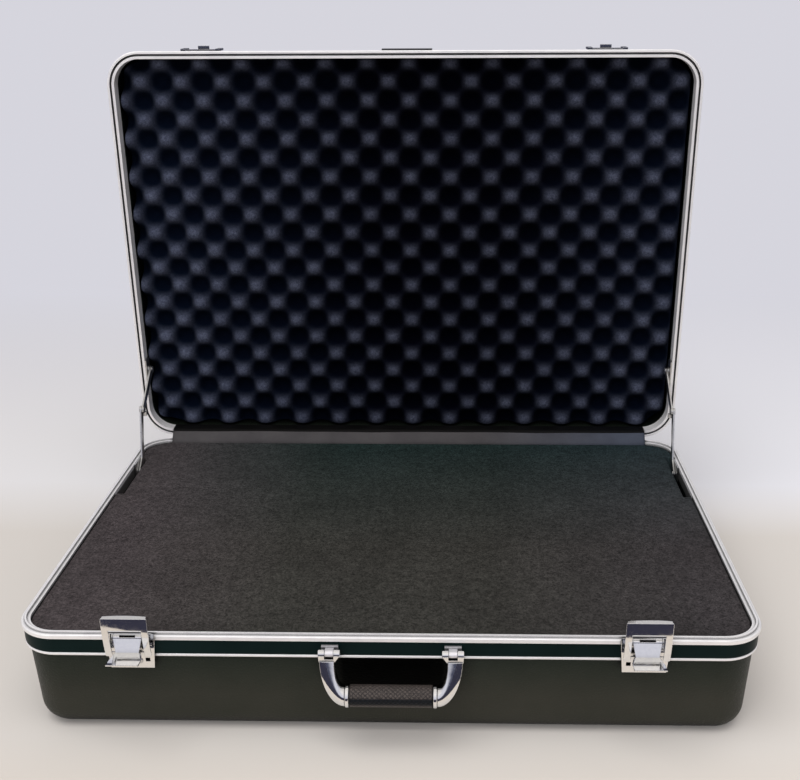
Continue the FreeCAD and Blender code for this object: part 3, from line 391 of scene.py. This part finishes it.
def plain_steel(name, low, high, rough, metallic=1.0):
    """Plated sheet steel with a fine brushed grain."""
    made, tree, shader = material(name)
    grain = noise(tree, place(tree, (300, 2200, 300)), 1.0, 3.0, 0.6)
    cloud = noise(tree, place(tree), 45.0, 4.0)
    shader.inputs["Metallic"].default_value = metallic
    colour = blended(tree, between(tree, cloud, 0.3, 0.7), low, high)
    # painted shade in narrow gaps
    tree.links.new(dimmed(tree, colour, crevice_shade(tree, 0.004, 0.15)), shader.inputs["Base Color"])
    varied = between(tree, grain, 0.3, 0.7, rough - 0.05, rough + 0.08)
    tree.links.new(varied, shader.inputs["Roughness"])
    bumped(tree, shader, [(grain, 0.10, 0.00004)], 0.0003)
    return made


def cover_vinyl():
    """The flexible strip over the hinge: dark grey vinyl with a fine cloth-like emboss.

    It turns bluer towards the right, and the part tucked into the lid has painted shadow that
    makes it nearly black.
    """
    made, tree, shader = material("cover_vinyl")
    spot = place(tree)
    weave = cells(tree, spot, 1400.0, "F1", 0.35)
    cloud = noise(tree, spot, 22.0, 4.0)
    colour = blended(tree, between(tree, cloud, 0.3, 0.7),
                     (0.037, 0.034, 0.036), (0.058, 0.054, 0.055))
    right = blended(tree, between(tree, split_place(tree)[0], 0.10, 0.30),
                    WHITE, (0.84, 1.05, 1.42))
    # painted shadow on the part tucked into the lid
    tucked_shadow = between(tree, attribute(tree, "tucked"), 0.4, 0.6, 1.0, 0.03)
    tree.links.new(dimmed(tree, colour, right, tucked_shadow), shader.inputs["Base Color"])
    shader.inputs["Specular IOR Level"].default_value = 0.2
    tree.links.new(between(tree, cloud, 0.3, 0.7, 0.55, 0.70), shader.inputs["Roughness"])
    bumped(tree, shader, [(weave, 0.35, 0.0001), (cloud, 0.25, 0.0006)])
    return made


def plate_paint():
    """Dark satin paint with fine specks."""
    made, tree, shader = material("plate_paint")
    fine = noise(tree, place(tree), 900.0, 2.0)
    colour = blended(tree, between(tree, fine, 0.35, 0.65),
                     (0.030, 0.030, 0.034), (0.048, 0.048, 0.053))
    tree.links.new(colour, shader.inputs["Base Color"])
    tree.links.new(between(tree, fine, 0.3, 0.7, 0.30, 0.40), shader.inputs["Roughness"])
    shader.inputs["Metallic"].default_value = 0.4
    bumped(tree, shader, [(fine, 0.08, 0.00004)], 0.0004)
    return made


def grip_rubber():
    """Black grip: painted highlight makes the pressed pattern's raised parts browner than its
    grooves, and a painted dark reflection runs along the middle.
    """
    made, tree, shader = material("grip_rubber")
    spot = place(tree)
    fine = noise(tree, spot, 700.0, 4.0, 0.7)
    # painted highlight on the pattern's raised parts and painted shade in its grooves
    raised = maths(tree, "ADD", product(tree, attribute(tree, "raised"), 0.65), 0.25)
    speckle = maths(tree, "ADD", product(tree, between(tree, fine, 0.36, 0.60), 0.75), 0.15)
    ridge_highlight = product(tree, raised, speckle)
    # painted dark reflection in a band along the grip's middle
    middle = near_value(tree, split_place(tree)[2], GRIP_HEIGHT - 0.2 * MM, 2.6 * MM, 4.8 * MM)
    colour = blended(tree, ridge_highlight, (0.003, 0.003, 0.004), (0.104, 0.086, 0.077))
    dark_reflection = blended(tree, middle, WHITE, (0.04, 0.09, 0.16))
    tree.links.new(dimmed(tree, colour, dark_reflection), shader.inputs["Base Color"])
    tree.links.new(between(tree, fine, 0.3, 0.7, 0.30, 0.44), shader.inputs["Roughness"])
    shader.inputs["Specular IOR Level"].default_value = 0.25
    bumped(tree, shader, [(fine, 0.25, 0.0002)])
    return made


# Building surfaces

def surface(points, closed_v=False):
    """A mesh from a grid of points: rows run along u, columns along v, each cell is one face."""
    rows, columns = points.shape[:2]
    index = np.arange(rows * columns).reshape(rows, columns)
    if closed_v:
        index = np.hstack([index, index[:, :1]])
    quads = np.stack([index[:-1, :-1], index[1:, :-1], index[1:, 1:], index[:-1, 1:]], axis=-1)
    return points.reshape(-1, 3), quads.reshape(-1, 4)


def new_piece(name, parts, finish, body, smooth=True):
    """One object from several (points, faces) parts, on a body, with a finish."""
    points = np.concatenate([part[0] for part in parts])
    offsets = np.cumsum([0] + [len(part[0]) for part in parts[:-1]])
    quads = np.concatenate([part[1] + offset for part, offset in zip(parts, offsets)])
    mesh = bpy.data.meshes.new(name)
    mesh.vertices.add(len(points))
    mesh.vertices.foreach_set("co", points.astype(np.float32).ravel())
    mesh.loops.add(len(quads) * 4)
    mesh.loops.foreach_set("vertex_index", quads.astype(np.int32).ravel())
    mesh.polygons.add(len(quads))
    mesh.polygons.foreach_set("loop_start", np.arange(0, len(quads) * 4, 4, dtype=np.int32))
    mesh.update(calc_edges=True)
    mesh.validate()
    mesh.polygons.foreach_set("use_smooth", np.full(len(mesh.polygons), smooth))
    mesh.materials.append(finish)
    made = bpy.data.objects.new(name, mesh)
    bpy.context.scene.collection.objects.link(made)
    if body is not None:
        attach(made, body)
    return made


def rounded_outline(half_x, half_y, radius, steps, along):
    """A rounded rectangle as one closed loop of points, starting at its right-hand side.

    Four quarter circles of the given radius sit at the corners and straight runs of evenly
    spaced points join them; the loop is traced anticlockwise.
    """
    turn = np.linspace(0, math.pi / 2, steps + 1)
    arcs = []
    for quarter, (right, up) in enumerate([(1, 1), (-1, 1), (-1, -1), (1, -1)]):
        angle = turn + quarter * math.pi / 2
        arcs.append(np.stack([right * (half_x - radius) + radius * np.cos(angle),
                              up * (half_y - radius) + radius * np.sin(angle)], axis=1))
    share = np.linspace(0, 1, along, endpoint=False)[1:, None]
    whole = []
    for here, following in zip(arcs, arcs[1:] + arcs[:1]):
        whole += [here, here[-1] * (1 - share) + following[0] * share]
    return np.concatenate(whole)


def pulled_in(xs, ys, half_x, half_y, radius):
    """Grid places drawn in to rounded corners.

    A place beyond a corner's quarter circle moves along the line to that circle's middle until
    it lies on the circle; every other place stays.
    """
    grid_x, grid_y = np.meshgrid(xs, ys, indexing="ij")
    over_x = np.maximum(np.abs(grid_x) - (half_x - radius), 0)
    over_y = np.maximum(np.abs(grid_y) - (half_y - radius), 0)
    reach = np.hypot(over_x, over_y)
    keep = np.where(reach > radius, radius / np.maximum(reach, 1e-9), 1.0)
    moved_x = grid_x + np.sign(grid_x) * over_x * (keep - 1)
    moved_y = grid_y + np.sign(grid_y) * over_y * (keep - 1)
    return moved_x, moved_y


def edge_distance(grid_x, grid_y, half_x, half_y, radius):
    """How far each place lies inside a rounded rectangle."""
    over_x = np.abs(grid_x) - (half_x - radius)
    over_y = np.abs(grid_y) - (half_y - radius)
    corner = radius - np.hypot(np.maximum(over_x, 0), np.maximum(over_y, 0))
    side = radius - np.maximum(over_x, over_y)
    return np.where((over_x > 0) & (over_y > 0), corner, side)


def border(points):
    """The grid's outer loop of points, in order."""
    return np.concatenate([points[:-1, 0], points[-1, :-1], points[:0:-1, -1], points[0, :0:-1]])


def filled_behind(points, middle, rings, axis):
    """Walls from a grid surface's border back through rings, then a flat face.

    Each ring is a (level, scale) pair: the border's places from the middle times the scale,
    moved to the level along the axis. The last ring shrinks to one point.
    """
    loop = border(points)
    made = [loop]
    for level, scale in rings + [(rings[-1][0], 0.0)]:
        ring = (loop - middle) * scale + middle
        ring[:, axis] = level
        made.append(ring)
    return surface(np.stack(made), closed_v=True)


def joined_up(made, gap=0.000004):
    """Merges doubled points, so that seams and poles are closed, and turns all faces outwards."""
    work = bmesh.new()
    work.from_mesh(made.data)
    bmesh.ops.remove_doubles(work, verts=work.verts, dist=gap)
    bmesh.ops.dissolve_degenerate(work, edges=work.edges, dist=gap)
    bmesh.ops.recalc_face_normals(work, faces=work.faces)
    work.to_mesh(made.data)
    work.free()
    made.data.polygons.foreach_set("use_smooth", np.full(len(made.data.polygons), True))
    made.data.update()
    return made


def marked(made, name, value_at):
    """Gives each point of a mesh a value from 0 to 1 that follows from its place."""
    spots = np.empty(len(made.data.vertices) * 3, np.float32)
    made.data.vertices.foreach_get("co", spots)
    values = np.clip(value_at(spots.reshape(-1, 3)), 0, 1)
    made.data.attributes.new(name, "FLOAT", "POINT").data.foreach_set("value", values)


def with_ends(points, middles):
    """A tube's rings with each end closed to the given middle points."""
    first, last = [np.broadcast_to(middle, points[0].shape) for middle in middles]
    return np.concatenate([first[None], points, last[None]])


def spaced(half, edge_steps, pitch):
    """Places from -half to half: given distances in from each end, then even steps between."""
    inner = half - edge_steps[-1]
    middle = np.linspace(-inner, inner, max(2, int(round(2 * inner / pitch)) + 1))
    left = [-half + step for step in edge_steps[:-1]]
    right = [half - step for step in edge_steps[:-1]][::-1]
    return np.concatenate([left, middle, right])


# The linings

def base_lining():
    """The flat pad in the base.

    Its height is the pad's top, less a quarter-round roll-off near the outline, plus a slow
    swell made of three crossed sine waves, and it steps down where the side stays fold in.
    """
    x0, x1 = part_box("base_foam_top")
    top, low = x1.z + 1.8 * MM, x0.z
    steps = np.array([0, 0.2, 0.5, 1.0, 1.7, 2.8, 4.6, 6.8, 9.9, 10.2, 13.0]) * MM
    rim = (FOAM_HALF_X + 1.1 * MM, FOAM_HALF_Y + 0.3 * MM, FOAM_CORNER + 0.8 * MM)
    xs = spaced(rim[0], steps, 7 * MM)
    relief_y = np.array([74.2, 74.5, 200.5, 200.8]) * MM
    ys = np.unique(np.concatenate([spaced(rim[1], steps, 7 * MM), relief_y]))
    grid_x, grid_y = pulled_in(xs, ys, *rim)
    inside = np.clip(edge_distance(grid_x, grid_y, *rim), 0, None)
    roll = 2.6 * MM
    share = np.clip(1 - inside / roll, 0, 1)
    height = top - roll * 0.75 * (1 - np.sqrt(np.clip(1 - share ** 2, 0, 1)))
    swell = (np.sin(grid_x * 13 + 0.7) * np.sin(grid_y * 17 + 1.1)
             + 0.6 * np.sin(grid_x * 29 + grid_y * 21)
             + 0.3 * np.sin(grid_x * 61 - grid_y * 47 + 2))
    height = height + (swell - 1.6) * 0.30 * MM * np.clip(inside / (20 * MM), 0, 1)
    back, length = STAY_RELIEF
    notch = (np.abs(grid_x) > 350.15 * MM) & (grid_y < back) & (grid_y > back - length)
    height = np.where(notch, top - 30 * MM, height)
    points = np.stack([grid_x, grid_y, height], axis=-1)
    parts = [surface(points), filled_behind(points, 0, [(low + 2 * MM, 1.0), (low, 0.996)], 2)]
    made = new_piece("base_lining", parts, FINISH["base_foam"], "base")
    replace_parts(joined_up(made), "base_foam_top")


def lower_lining():
    """The hidden pad under it: rounded loops that follow the shell's draft and lower edge.

    Each row is how far in the loop lies and at what height.
    """
    low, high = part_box("base_foam_bottom")
    rows = []
    for inset, z in [(0, high.z), (0.2, high.z - 2 * MM), (1.6, 26 * MM), (3.2, 15 * MM),
                     (8.5, 7 * MM), (15.0, 3.9 * MM), (23.0, low.z)]:
        inset = inset * MM
        loop = rounded_outline(high.x - inset, high.y - inset, 34 * MM - inset, 8, 20)
        rows.append(np.column_stack([loop, np.full(len(loop), z)]))
    points = with_ends(np.stack(rows), [(0, 0, high.z), (0, 0, low.z)])
    made = new_piece("lower_lining", [surface(points, closed_v=True)], FINISH["base_foam"],
                     "base")
    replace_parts(joined_up(made), "base_foam_bottom")


def lid_lining():
    """The convoluted foam in the lid.

    With c the product of a cosine across and a cosine along, the foam stands at its hollow
    plus the rise times a blunted share of (c + 1) / 2, so round peaks and round hollows
    alternate in both directions and saddles join them. A slow sine makes rows a little uneven.
    Behind the border the walls follow the shell's rounded back edge; each row there is how far
    the ring lies before the back and how far in.
    """
    low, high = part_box("lid_foam")
    middle_z = (low.z + high.z) / 2
    half_z = (high.z - low.z) / 2
    back, tip = high.y, low.y - 3 * MM
    rise = 23 * MM
    hollow = tip + rise
    xs = spaced(FOAM_HALF_X, np.array([0, 0.8, 2.4]) * MM, 2.35 * MM)
    zs = spaced(half_z, np.array([0, 0.8, 2.4]) * MM, 2.35 * MM)
    grid_x, grid_z = pulled_in(xs, zs, FOAM_HALF_X, half_z, FOAM_CORNER)
    waver = 0.5 * MM * np.sin(grid_z * 31 + 0.4) + 0.4 * MM * np.sin(grid_x * 23)
    across = np.cos(math.pi * (grid_x + waver - EGG_PHASE[0]) / EGG_PITCH[0])
    along = np.cos(math.pi * (grid_z + middle_z + waver - EGG_PHASE[1]) / EGG_PITCH[1])
    share = (across * along + 1) / 2
    blunt = share ** 1.25 * (1.25 - 0.25 * share ** 3)
    depth = hollow - rise * np.clip(blunt, 0, 1)
    points = np.stack([grid_x, depth, grid_z + middle_z], axis=-1)
    rings = [(back - before * MM, (1 - inset * MM / FOAM_HALF_X, 1, 1 - inset * MM / half_z))
             for before, inset in [(12.5, 0.2), (9.0, 1.3), (6.0, 3.3), (3.0, 6.6), (1.0, 10.5),
                                   (0, 16.4)]]
    walls = filled_behind(points, (0, 0, middle_z), rings, 1)
    made = new_piece("lid_lining", [surface(points), walls], FINISH["lid_foam"],
                     "lid")
    marked(joined_up(made), "peak_share", lambda spots: (hollow - spots[:, 1]) / rise)
    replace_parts(made, "lid_foam")


def hinge_strip():
    """The flexible cover inside the hinge.

    Its side view is a rounded path up the base's back wall, slanting across the hinge and
    onto the lid's wall; the path is carried along the case, a little wavy in the middle,
    and given its thickness by an offset square to the path. The part tucked into the lid is
    marked, so that its finish can give it a painted shadow.
    """
    low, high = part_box("hinge_cover")
    t = 1 * MM
    knots = np.array([[low.y, low.z], [low.y, 111 * MM], [low.y + 0.3 * MM, 116 * MM],
                      [low.y + 3.2 * MM, 120.4 * MM], [low.y + 7.5 * MM, 125.0 * MM],
                      [256.3 * MM, 129.3 * MM], [259.5 * MM, high.z - 0.25 * MM],
                      [264 * MM, high.z - 0.1 * MM], [high.y + 2.2 * MM, high.z - 0.1 * MM]])
    share = np.linspace(0, len(knots) - 1, 49)
    path = np.column_stack([np.interp(share, np.arange(len(knots)), knots[:, k]) for k in (0, 1)])
    for _ in range(6):
        path[1:-1] = (path[:-2] + 2 * path[1:-1] + path[2:]) / 4
    run = np.gradient(path, axis=0)
    run /= np.linalg.norm(run, axis=1, keepdims=True)
    square = np.column_stack([-run[:, 1], run[:, 0]])
    xs = np.linspace(low.x, high.x, 133)
    free = np.sin(math.pi * np.linspace(0, 1, len(path))) ** 4
    sway = 0.35 * MM * (1.6 + np.sin(xs * 23) + 0.6 * np.sin(xs * 57 + 1))
    outer = path[None] + (sway[:, None] * free[None])[..., None] * square[None]
    inner = outer - t * square[None]
    ring = np.concatenate([outer, inner[:, ::-1]], axis=1)
    place_x = np.broadcast_to(xs[:, None, None], ring.shape[:2] + (1,))
    points = np.concatenate([place_x, ring], axis=2)
    points = with_ends(points, [points[0].mean(axis=0), points[-1].mean(axis=0)])
    made = new_piece("hinge_strip", [surface(points, closed_v=True)], FINISH["hinge_cover"],
                     None)
    marked(joined_up(made), "tucked", lambda spots: (spots[:, 1] - 253.6 * MM) / (0.8 * MM))
    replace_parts(made, "hinge_cover")
    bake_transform(made)


def grip_sleeve():
    """The grip: a tube along the case whose skin is pressed with a fine diamond pattern.

    The radius is the sleeve's, less a shallow groove depth times the smaller of two crossed
    waves that climb left and right round it, fading out at both rolled ends.
    """
    low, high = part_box("handle_grip")
    centre_y, centre_z = (low.y + high.y) / 2, (low.z + high.z) / 2
    radius = (high.z - low.z) / 2
    length = high.x - low.x
    groove, rolled = 0.40 * MM, 0.9 * MM
    diamond, rounds = 4.5 * MM, 16
    along = np.linspace(0, 1, 271)
    turn = np.linspace(0, 2 * math.pi, 240, endpoint=False)
    u, v = np.meshgrid(along, turn, indexing="ij")
    climb = math.pi * length * u / diamond
    half_turn = rounds * v / 2
    waves = np.minimum(np.abs(np.sin(climb + half_turn)), np.abs(np.sin(climb - half_turn)))
    end = np.clip(np.minimum(u, 1 - u) * length / (1.6 * MM), 0, 1)
    skin = (radius - groove * (1 - np.clip(waves * 1.6, 0, 1)) * end
            - rolled * (1 - np.sqrt(1 - (1 - end) ** 2)))
    points = np.stack([low.x + length * u, centre_y + skin * np.cos(v),
                       centre_z + skin * np.sin(v)], axis=-1)
    points = with_ends(points, [(low.x, centre_y, centre_z), (high.x, centre_y, centre_z)])
    made = new_piece("grip_sleeve", [surface(points, closed_v=True)], FINISH["grip"],
                     "handle")

    def raised(spots):
        """How far each place stands out of the grooves."""
        reach = np.hypot(*(spots[:, 1:] - (centre_y, centre_z)).T)
        return (reach - radius + groove) / groove

    marked(joined_up(made), "raised", raised)
    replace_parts(made, "handle_grip")


# The finishes, by the record's material slots

FINISH = {
    "shell_plastic": grained_plastic(),
    "band": band_plastic(),
    "base_foam": flat_foam(),
    "lid_foam": egg_foam(),
    "hinge_metal": plain_steel("hinge_steel", (0.42, 0.42, 0.43), (0.60, 0.60, 0.60), 0.34),
    "rivets": plain_steel("rivet_steel", (0.55, 0.55, 0.56), (0.72, 0.72, 0.72), 0.26),
    "pins": plain_steel("pin_steel", (0.50, 0.50, 0.51), (0.68, 0.68, 0.68), 0.28),
    "stay_metal": plain_steel("stay_steel", (0.52, 0.52, 0.52), (0.72, 0.72, 0.71), 0.30),
    "hinge_cover": cover_vinyl(),
    "lid_plate": plate_paint(),
    "grip": grip_rubber(),
    "latch_chrome": bright_chrome(),
    "posts": plain_steel("post_steel", (0.70, 0.69, 0.72), (0.84, 0.82, 0.85), 0.38, 0.6),
}
FINISH["handle_chrome"] = FINISH["latch_chrome"]
RIM_METALS = {
    "base_valance": rim_metal("base_rim_metal", (2.0, 2.0, 900.0), 112.5 * MM),
    "lid_valance": rim_metal("lid_rim_metal", (2.0, 900.0, 2.0)),
}

for row in frame["record"]["subparts"]:
    finish = RIM_METALS.get(row["node"]) or FINISH[row["material_slot"]]
    if row["node"].startswith("handle_post"):
        finish = FINISH["posts"]
    mesh = nodes[row["node"]].data
    mesh.materials.clear()
    mesh.materials.append(finish)

base_lining()
lower_lining()
lid_lining()
hinge_strip()
grip_sleeve()


# The stage

def floor_finish():
    """A warm pale floor that turns into a cool pale wall tone behind the case; painted light makes
    both lighter towards the right.

    Far behind, what the camera and mirrors see is the wall tone itself; everything else, and
    all of the floor near the case, is plain diffuse and keeps its shadows.
    """
    made, tree, shader = material("pale_floor")
    across, deep, _ = split_place(tree)
    warm = blended(tree, noise(tree, place(tree), 1.6, 3.0),
                   (0.575, 0.546, 0.512), (0.600, 0.569, 0.534))
    # painted light: the floor is lighter towards the right
    painted_light_right = between(tree, across, -0.45, 0.55, 1.0, 1.13)
    near = blended(tree, between(tree, deep, -0.44, -0.26), (0.94, 0.890, 0.825), WHITE)
    # painted light: the wall tone is lighter towards the right
    cool = blended(tree, between(tree, across, -0.5, 0.6),
                   (0.68, 0.672, 0.680), (0.79, 0.795, 0.835))
    colour = blended(tree, between(tree, deep, 0.19, 0.36), dimmed(tree, warm, painted_light_right, near), cool)
    tree.links.new(colour, shader.inputs["Base Color"])
    shader.inputs["Roughness"].default_value = 0.7
    shader.inputs["Specular IOR Level"].default_value = 0.0
    glow = add(tree, "Emission", {"Strength": 1.0, "Color": (*WALL_TONE, 1)})
    rays = add(tree, "LightPath")
    seen = maths(tree, "MAXIMUM", rays.outputs["Is Camera Ray"], rays.outputs["Is Glossy Ray"])
    seen = maths(tree, "MAXIMUM", seen, rays.outputs["Is Transmission Ray"])
    away = product(tree, between(tree, deep, 0.55, 1.5), seen)
    join = add(tree, "MixShader")
    output = tree.nodes["Material Output"]
    tree.links.new(away, join.inputs["Fac"])
    tree.links.new(shader.outputs["BSDF"], join.inputs[1])
    tree.links.new(glow.outputs["Emission"], join.inputs[2])
    tree.links.new(join.outputs["Shader"], output.inputs["Surface"])
    return made


def laid_flat(name, grid_x, grid_y, height, finish):
    """A level sheet of the stage that faces up."""
    points = np.stack([grid_x, grid_y, np.full(grid_x.shape, height)], axis=-1)
    made = new_piece(name, [surface(points)], finish, None, smooth=False)
    if made.data.polygons[0].normal.z < 0:
        made.data.flip_normals()
    return made


def floor():
    """The table, large enough that the camera sees no end of it but the far one."""
    grid_x, grid_y = np.meshgrid(np.linspace(-9, 9, 13), np.linspace(-7, 13, 13), indexing="ij")
    made = laid_flat("floor", grid_x, grid_y, 0.0, floor_finish())


def dark_aisle():
    """What glossy fronts reflect beyond the table's near edge: a dark floor, seen by them only."""
    made, tree, shader = material("dark_aisle")
    shade = blended(tree, noise(tree, place(tree), 2.2, 3.0),
                    (0.018, 0.018, 0.030), (0.040, 0.040, 0.060))
    tree.links.new(shade, shader.inputs["Base Color"])
    shader.inputs["Roughness"].default_value = 0.9
    shader.inputs["Specular IOR Level"].default_value = 0.0
    xs = np.unique(np.concatenate([np.linspace(-6, 6, 25), np.linspace(-0.6, 0.6, 25)]))
    grid_x, share = np.meshgrid(xs, np.linspace(0, 1, 12), indexing="ij")
    near = -0.43 - 0.9 * np.clip(np.abs(grid_x) - 0.29, 0, 3)
    far = -6.5
    card = laid_flat("dark_aisle", grid_x, near + (far - near) * share, 2 * MM, made)
    card.visible_camera = card.visible_diffuse = card.visible_shadow = False


def soft_lamp(name, spot, target, size, power):
    """A white rectangular studio panel that faces a point and shows in no mirror."""
    lamp = bpy.data.lights.new(name, "AREA")
    lamp.shape = "RECTANGLE"
    lamp.size, lamp.size_y = size
    lamp.energy = power
    made = bpy.data.objects.new(name, lamp)
    made.location = spot
    made.rotation_euler = (Vector(target) - Vector(spot)).to_track_quat("-Z", "Y").to_euler()
    made.visible_glossy = False
    bpy.context.scene.collection.objects.link(made)


def room():
    """The room's own light: a warm pale ceiling, cooler pale walls and dark below them.

    It is brighter in front of the case than behind it. The camera itself sees the wall tone.
    """
    world = bpy.data.worlds.new("room")
    bpy.context.scene.world = world
    world.use_nodes = True
    tree = world.node_tree
    tree.nodes.clear()
    output = tree.nodes.new("ShaderNodeOutputWorld")
    light = add(tree, "Background", {"Strength": 1.0})
    direction = add(tree, "TexCoord")
    split = add(tree, "SeparateXYZ")
    tree.links.new(direction.outputs["Generated"], split.inputs["Vector"])
    walls = blended(tree, between(tree, split.outputs["Z"], 0.04, 0.12),
                    (0.06, 0.065, 0.10), (0.56, 0.56, 0.62))
    around = blended(tree, between(tree, split.outputs["Z"], 0.35, 0.80),
                     walls, (0.80, 0.765, 0.74))
    front = between(tree, split.outputs["Y"], -0.7, 0.7, 1.18, 0.78)
    rays = add(tree, "LightPath")
    seen = blended(tree, rays.outputs["Is Camera Ray"], dimmed(tree, around, front), WALL_TONE)
    tree.links.new(seen, light.inputs["Color"])
    tree.links.new(light.outputs["Background"], output.inputs["Surface"])


def camera():
    """The photograph's view: place, turn and lens found from the case's straight rims.

    The focal length and the shift of the middle were found in pixels of the photo's width.
    """
    spot = Vector((0.06306, -1.14204, 0.68780))
    yaw, pitch, roll = 0.02532, 0.39543, -0.00488
    photo_width, focal_px, shift_px = 800, 1075.07, (-27.5, 57.4)
    ahead = Vector((-math.sin(yaw) * math.cos(pitch), math.cos(yaw) * math.cos(pitch),
                    -math.sin(pitch)))
    right = Vector((math.cos(yaw), math.sin(yaw), 0))
    up = right.cross(ahead)
    right_turned = right * math.cos(roll) + up * math.sin(roll)
    up_turned = up * math.cos(roll) - right * math.sin(roll)
    lens = bpy.data.cameras.new("camera")
    lens.sensor_fit = "HORIZONTAL"
    lens.sensor_width = 36.0
    lens.lens = lens.sensor_width * focal_px / photo_width
    lens.shift_x = shift_px[0] / photo_width
    lens.shift_y = shift_px[1] / photo_width
    lens.clip_start, lens.clip_end = 0.01, 60
    made = bpy.data.objects.new("camera", lens)
    turn = Matrix((right_turned, up_turned, -ahead)).transposed().to_4x4()
    made.matrix_world = Matrix.Translation(spot) @ turn
    bpy.context.scene.collection.objects.link(made)
    bpy.context.scene.camera = made


floor()
dark_aisle()
room()
soft_lamp("panel_above", (-0.4, -0.9, 2.5), (0, 0, 0.2), (2.4, 1.8), 36)
soft_lamp("panel_front", (-0.6, -2.6, 1.3), (0, -0.2, 0.1), (2.2, 1.4), 28)
camera()
bpy.context.scene.view_settings.view_transform = "Standard"
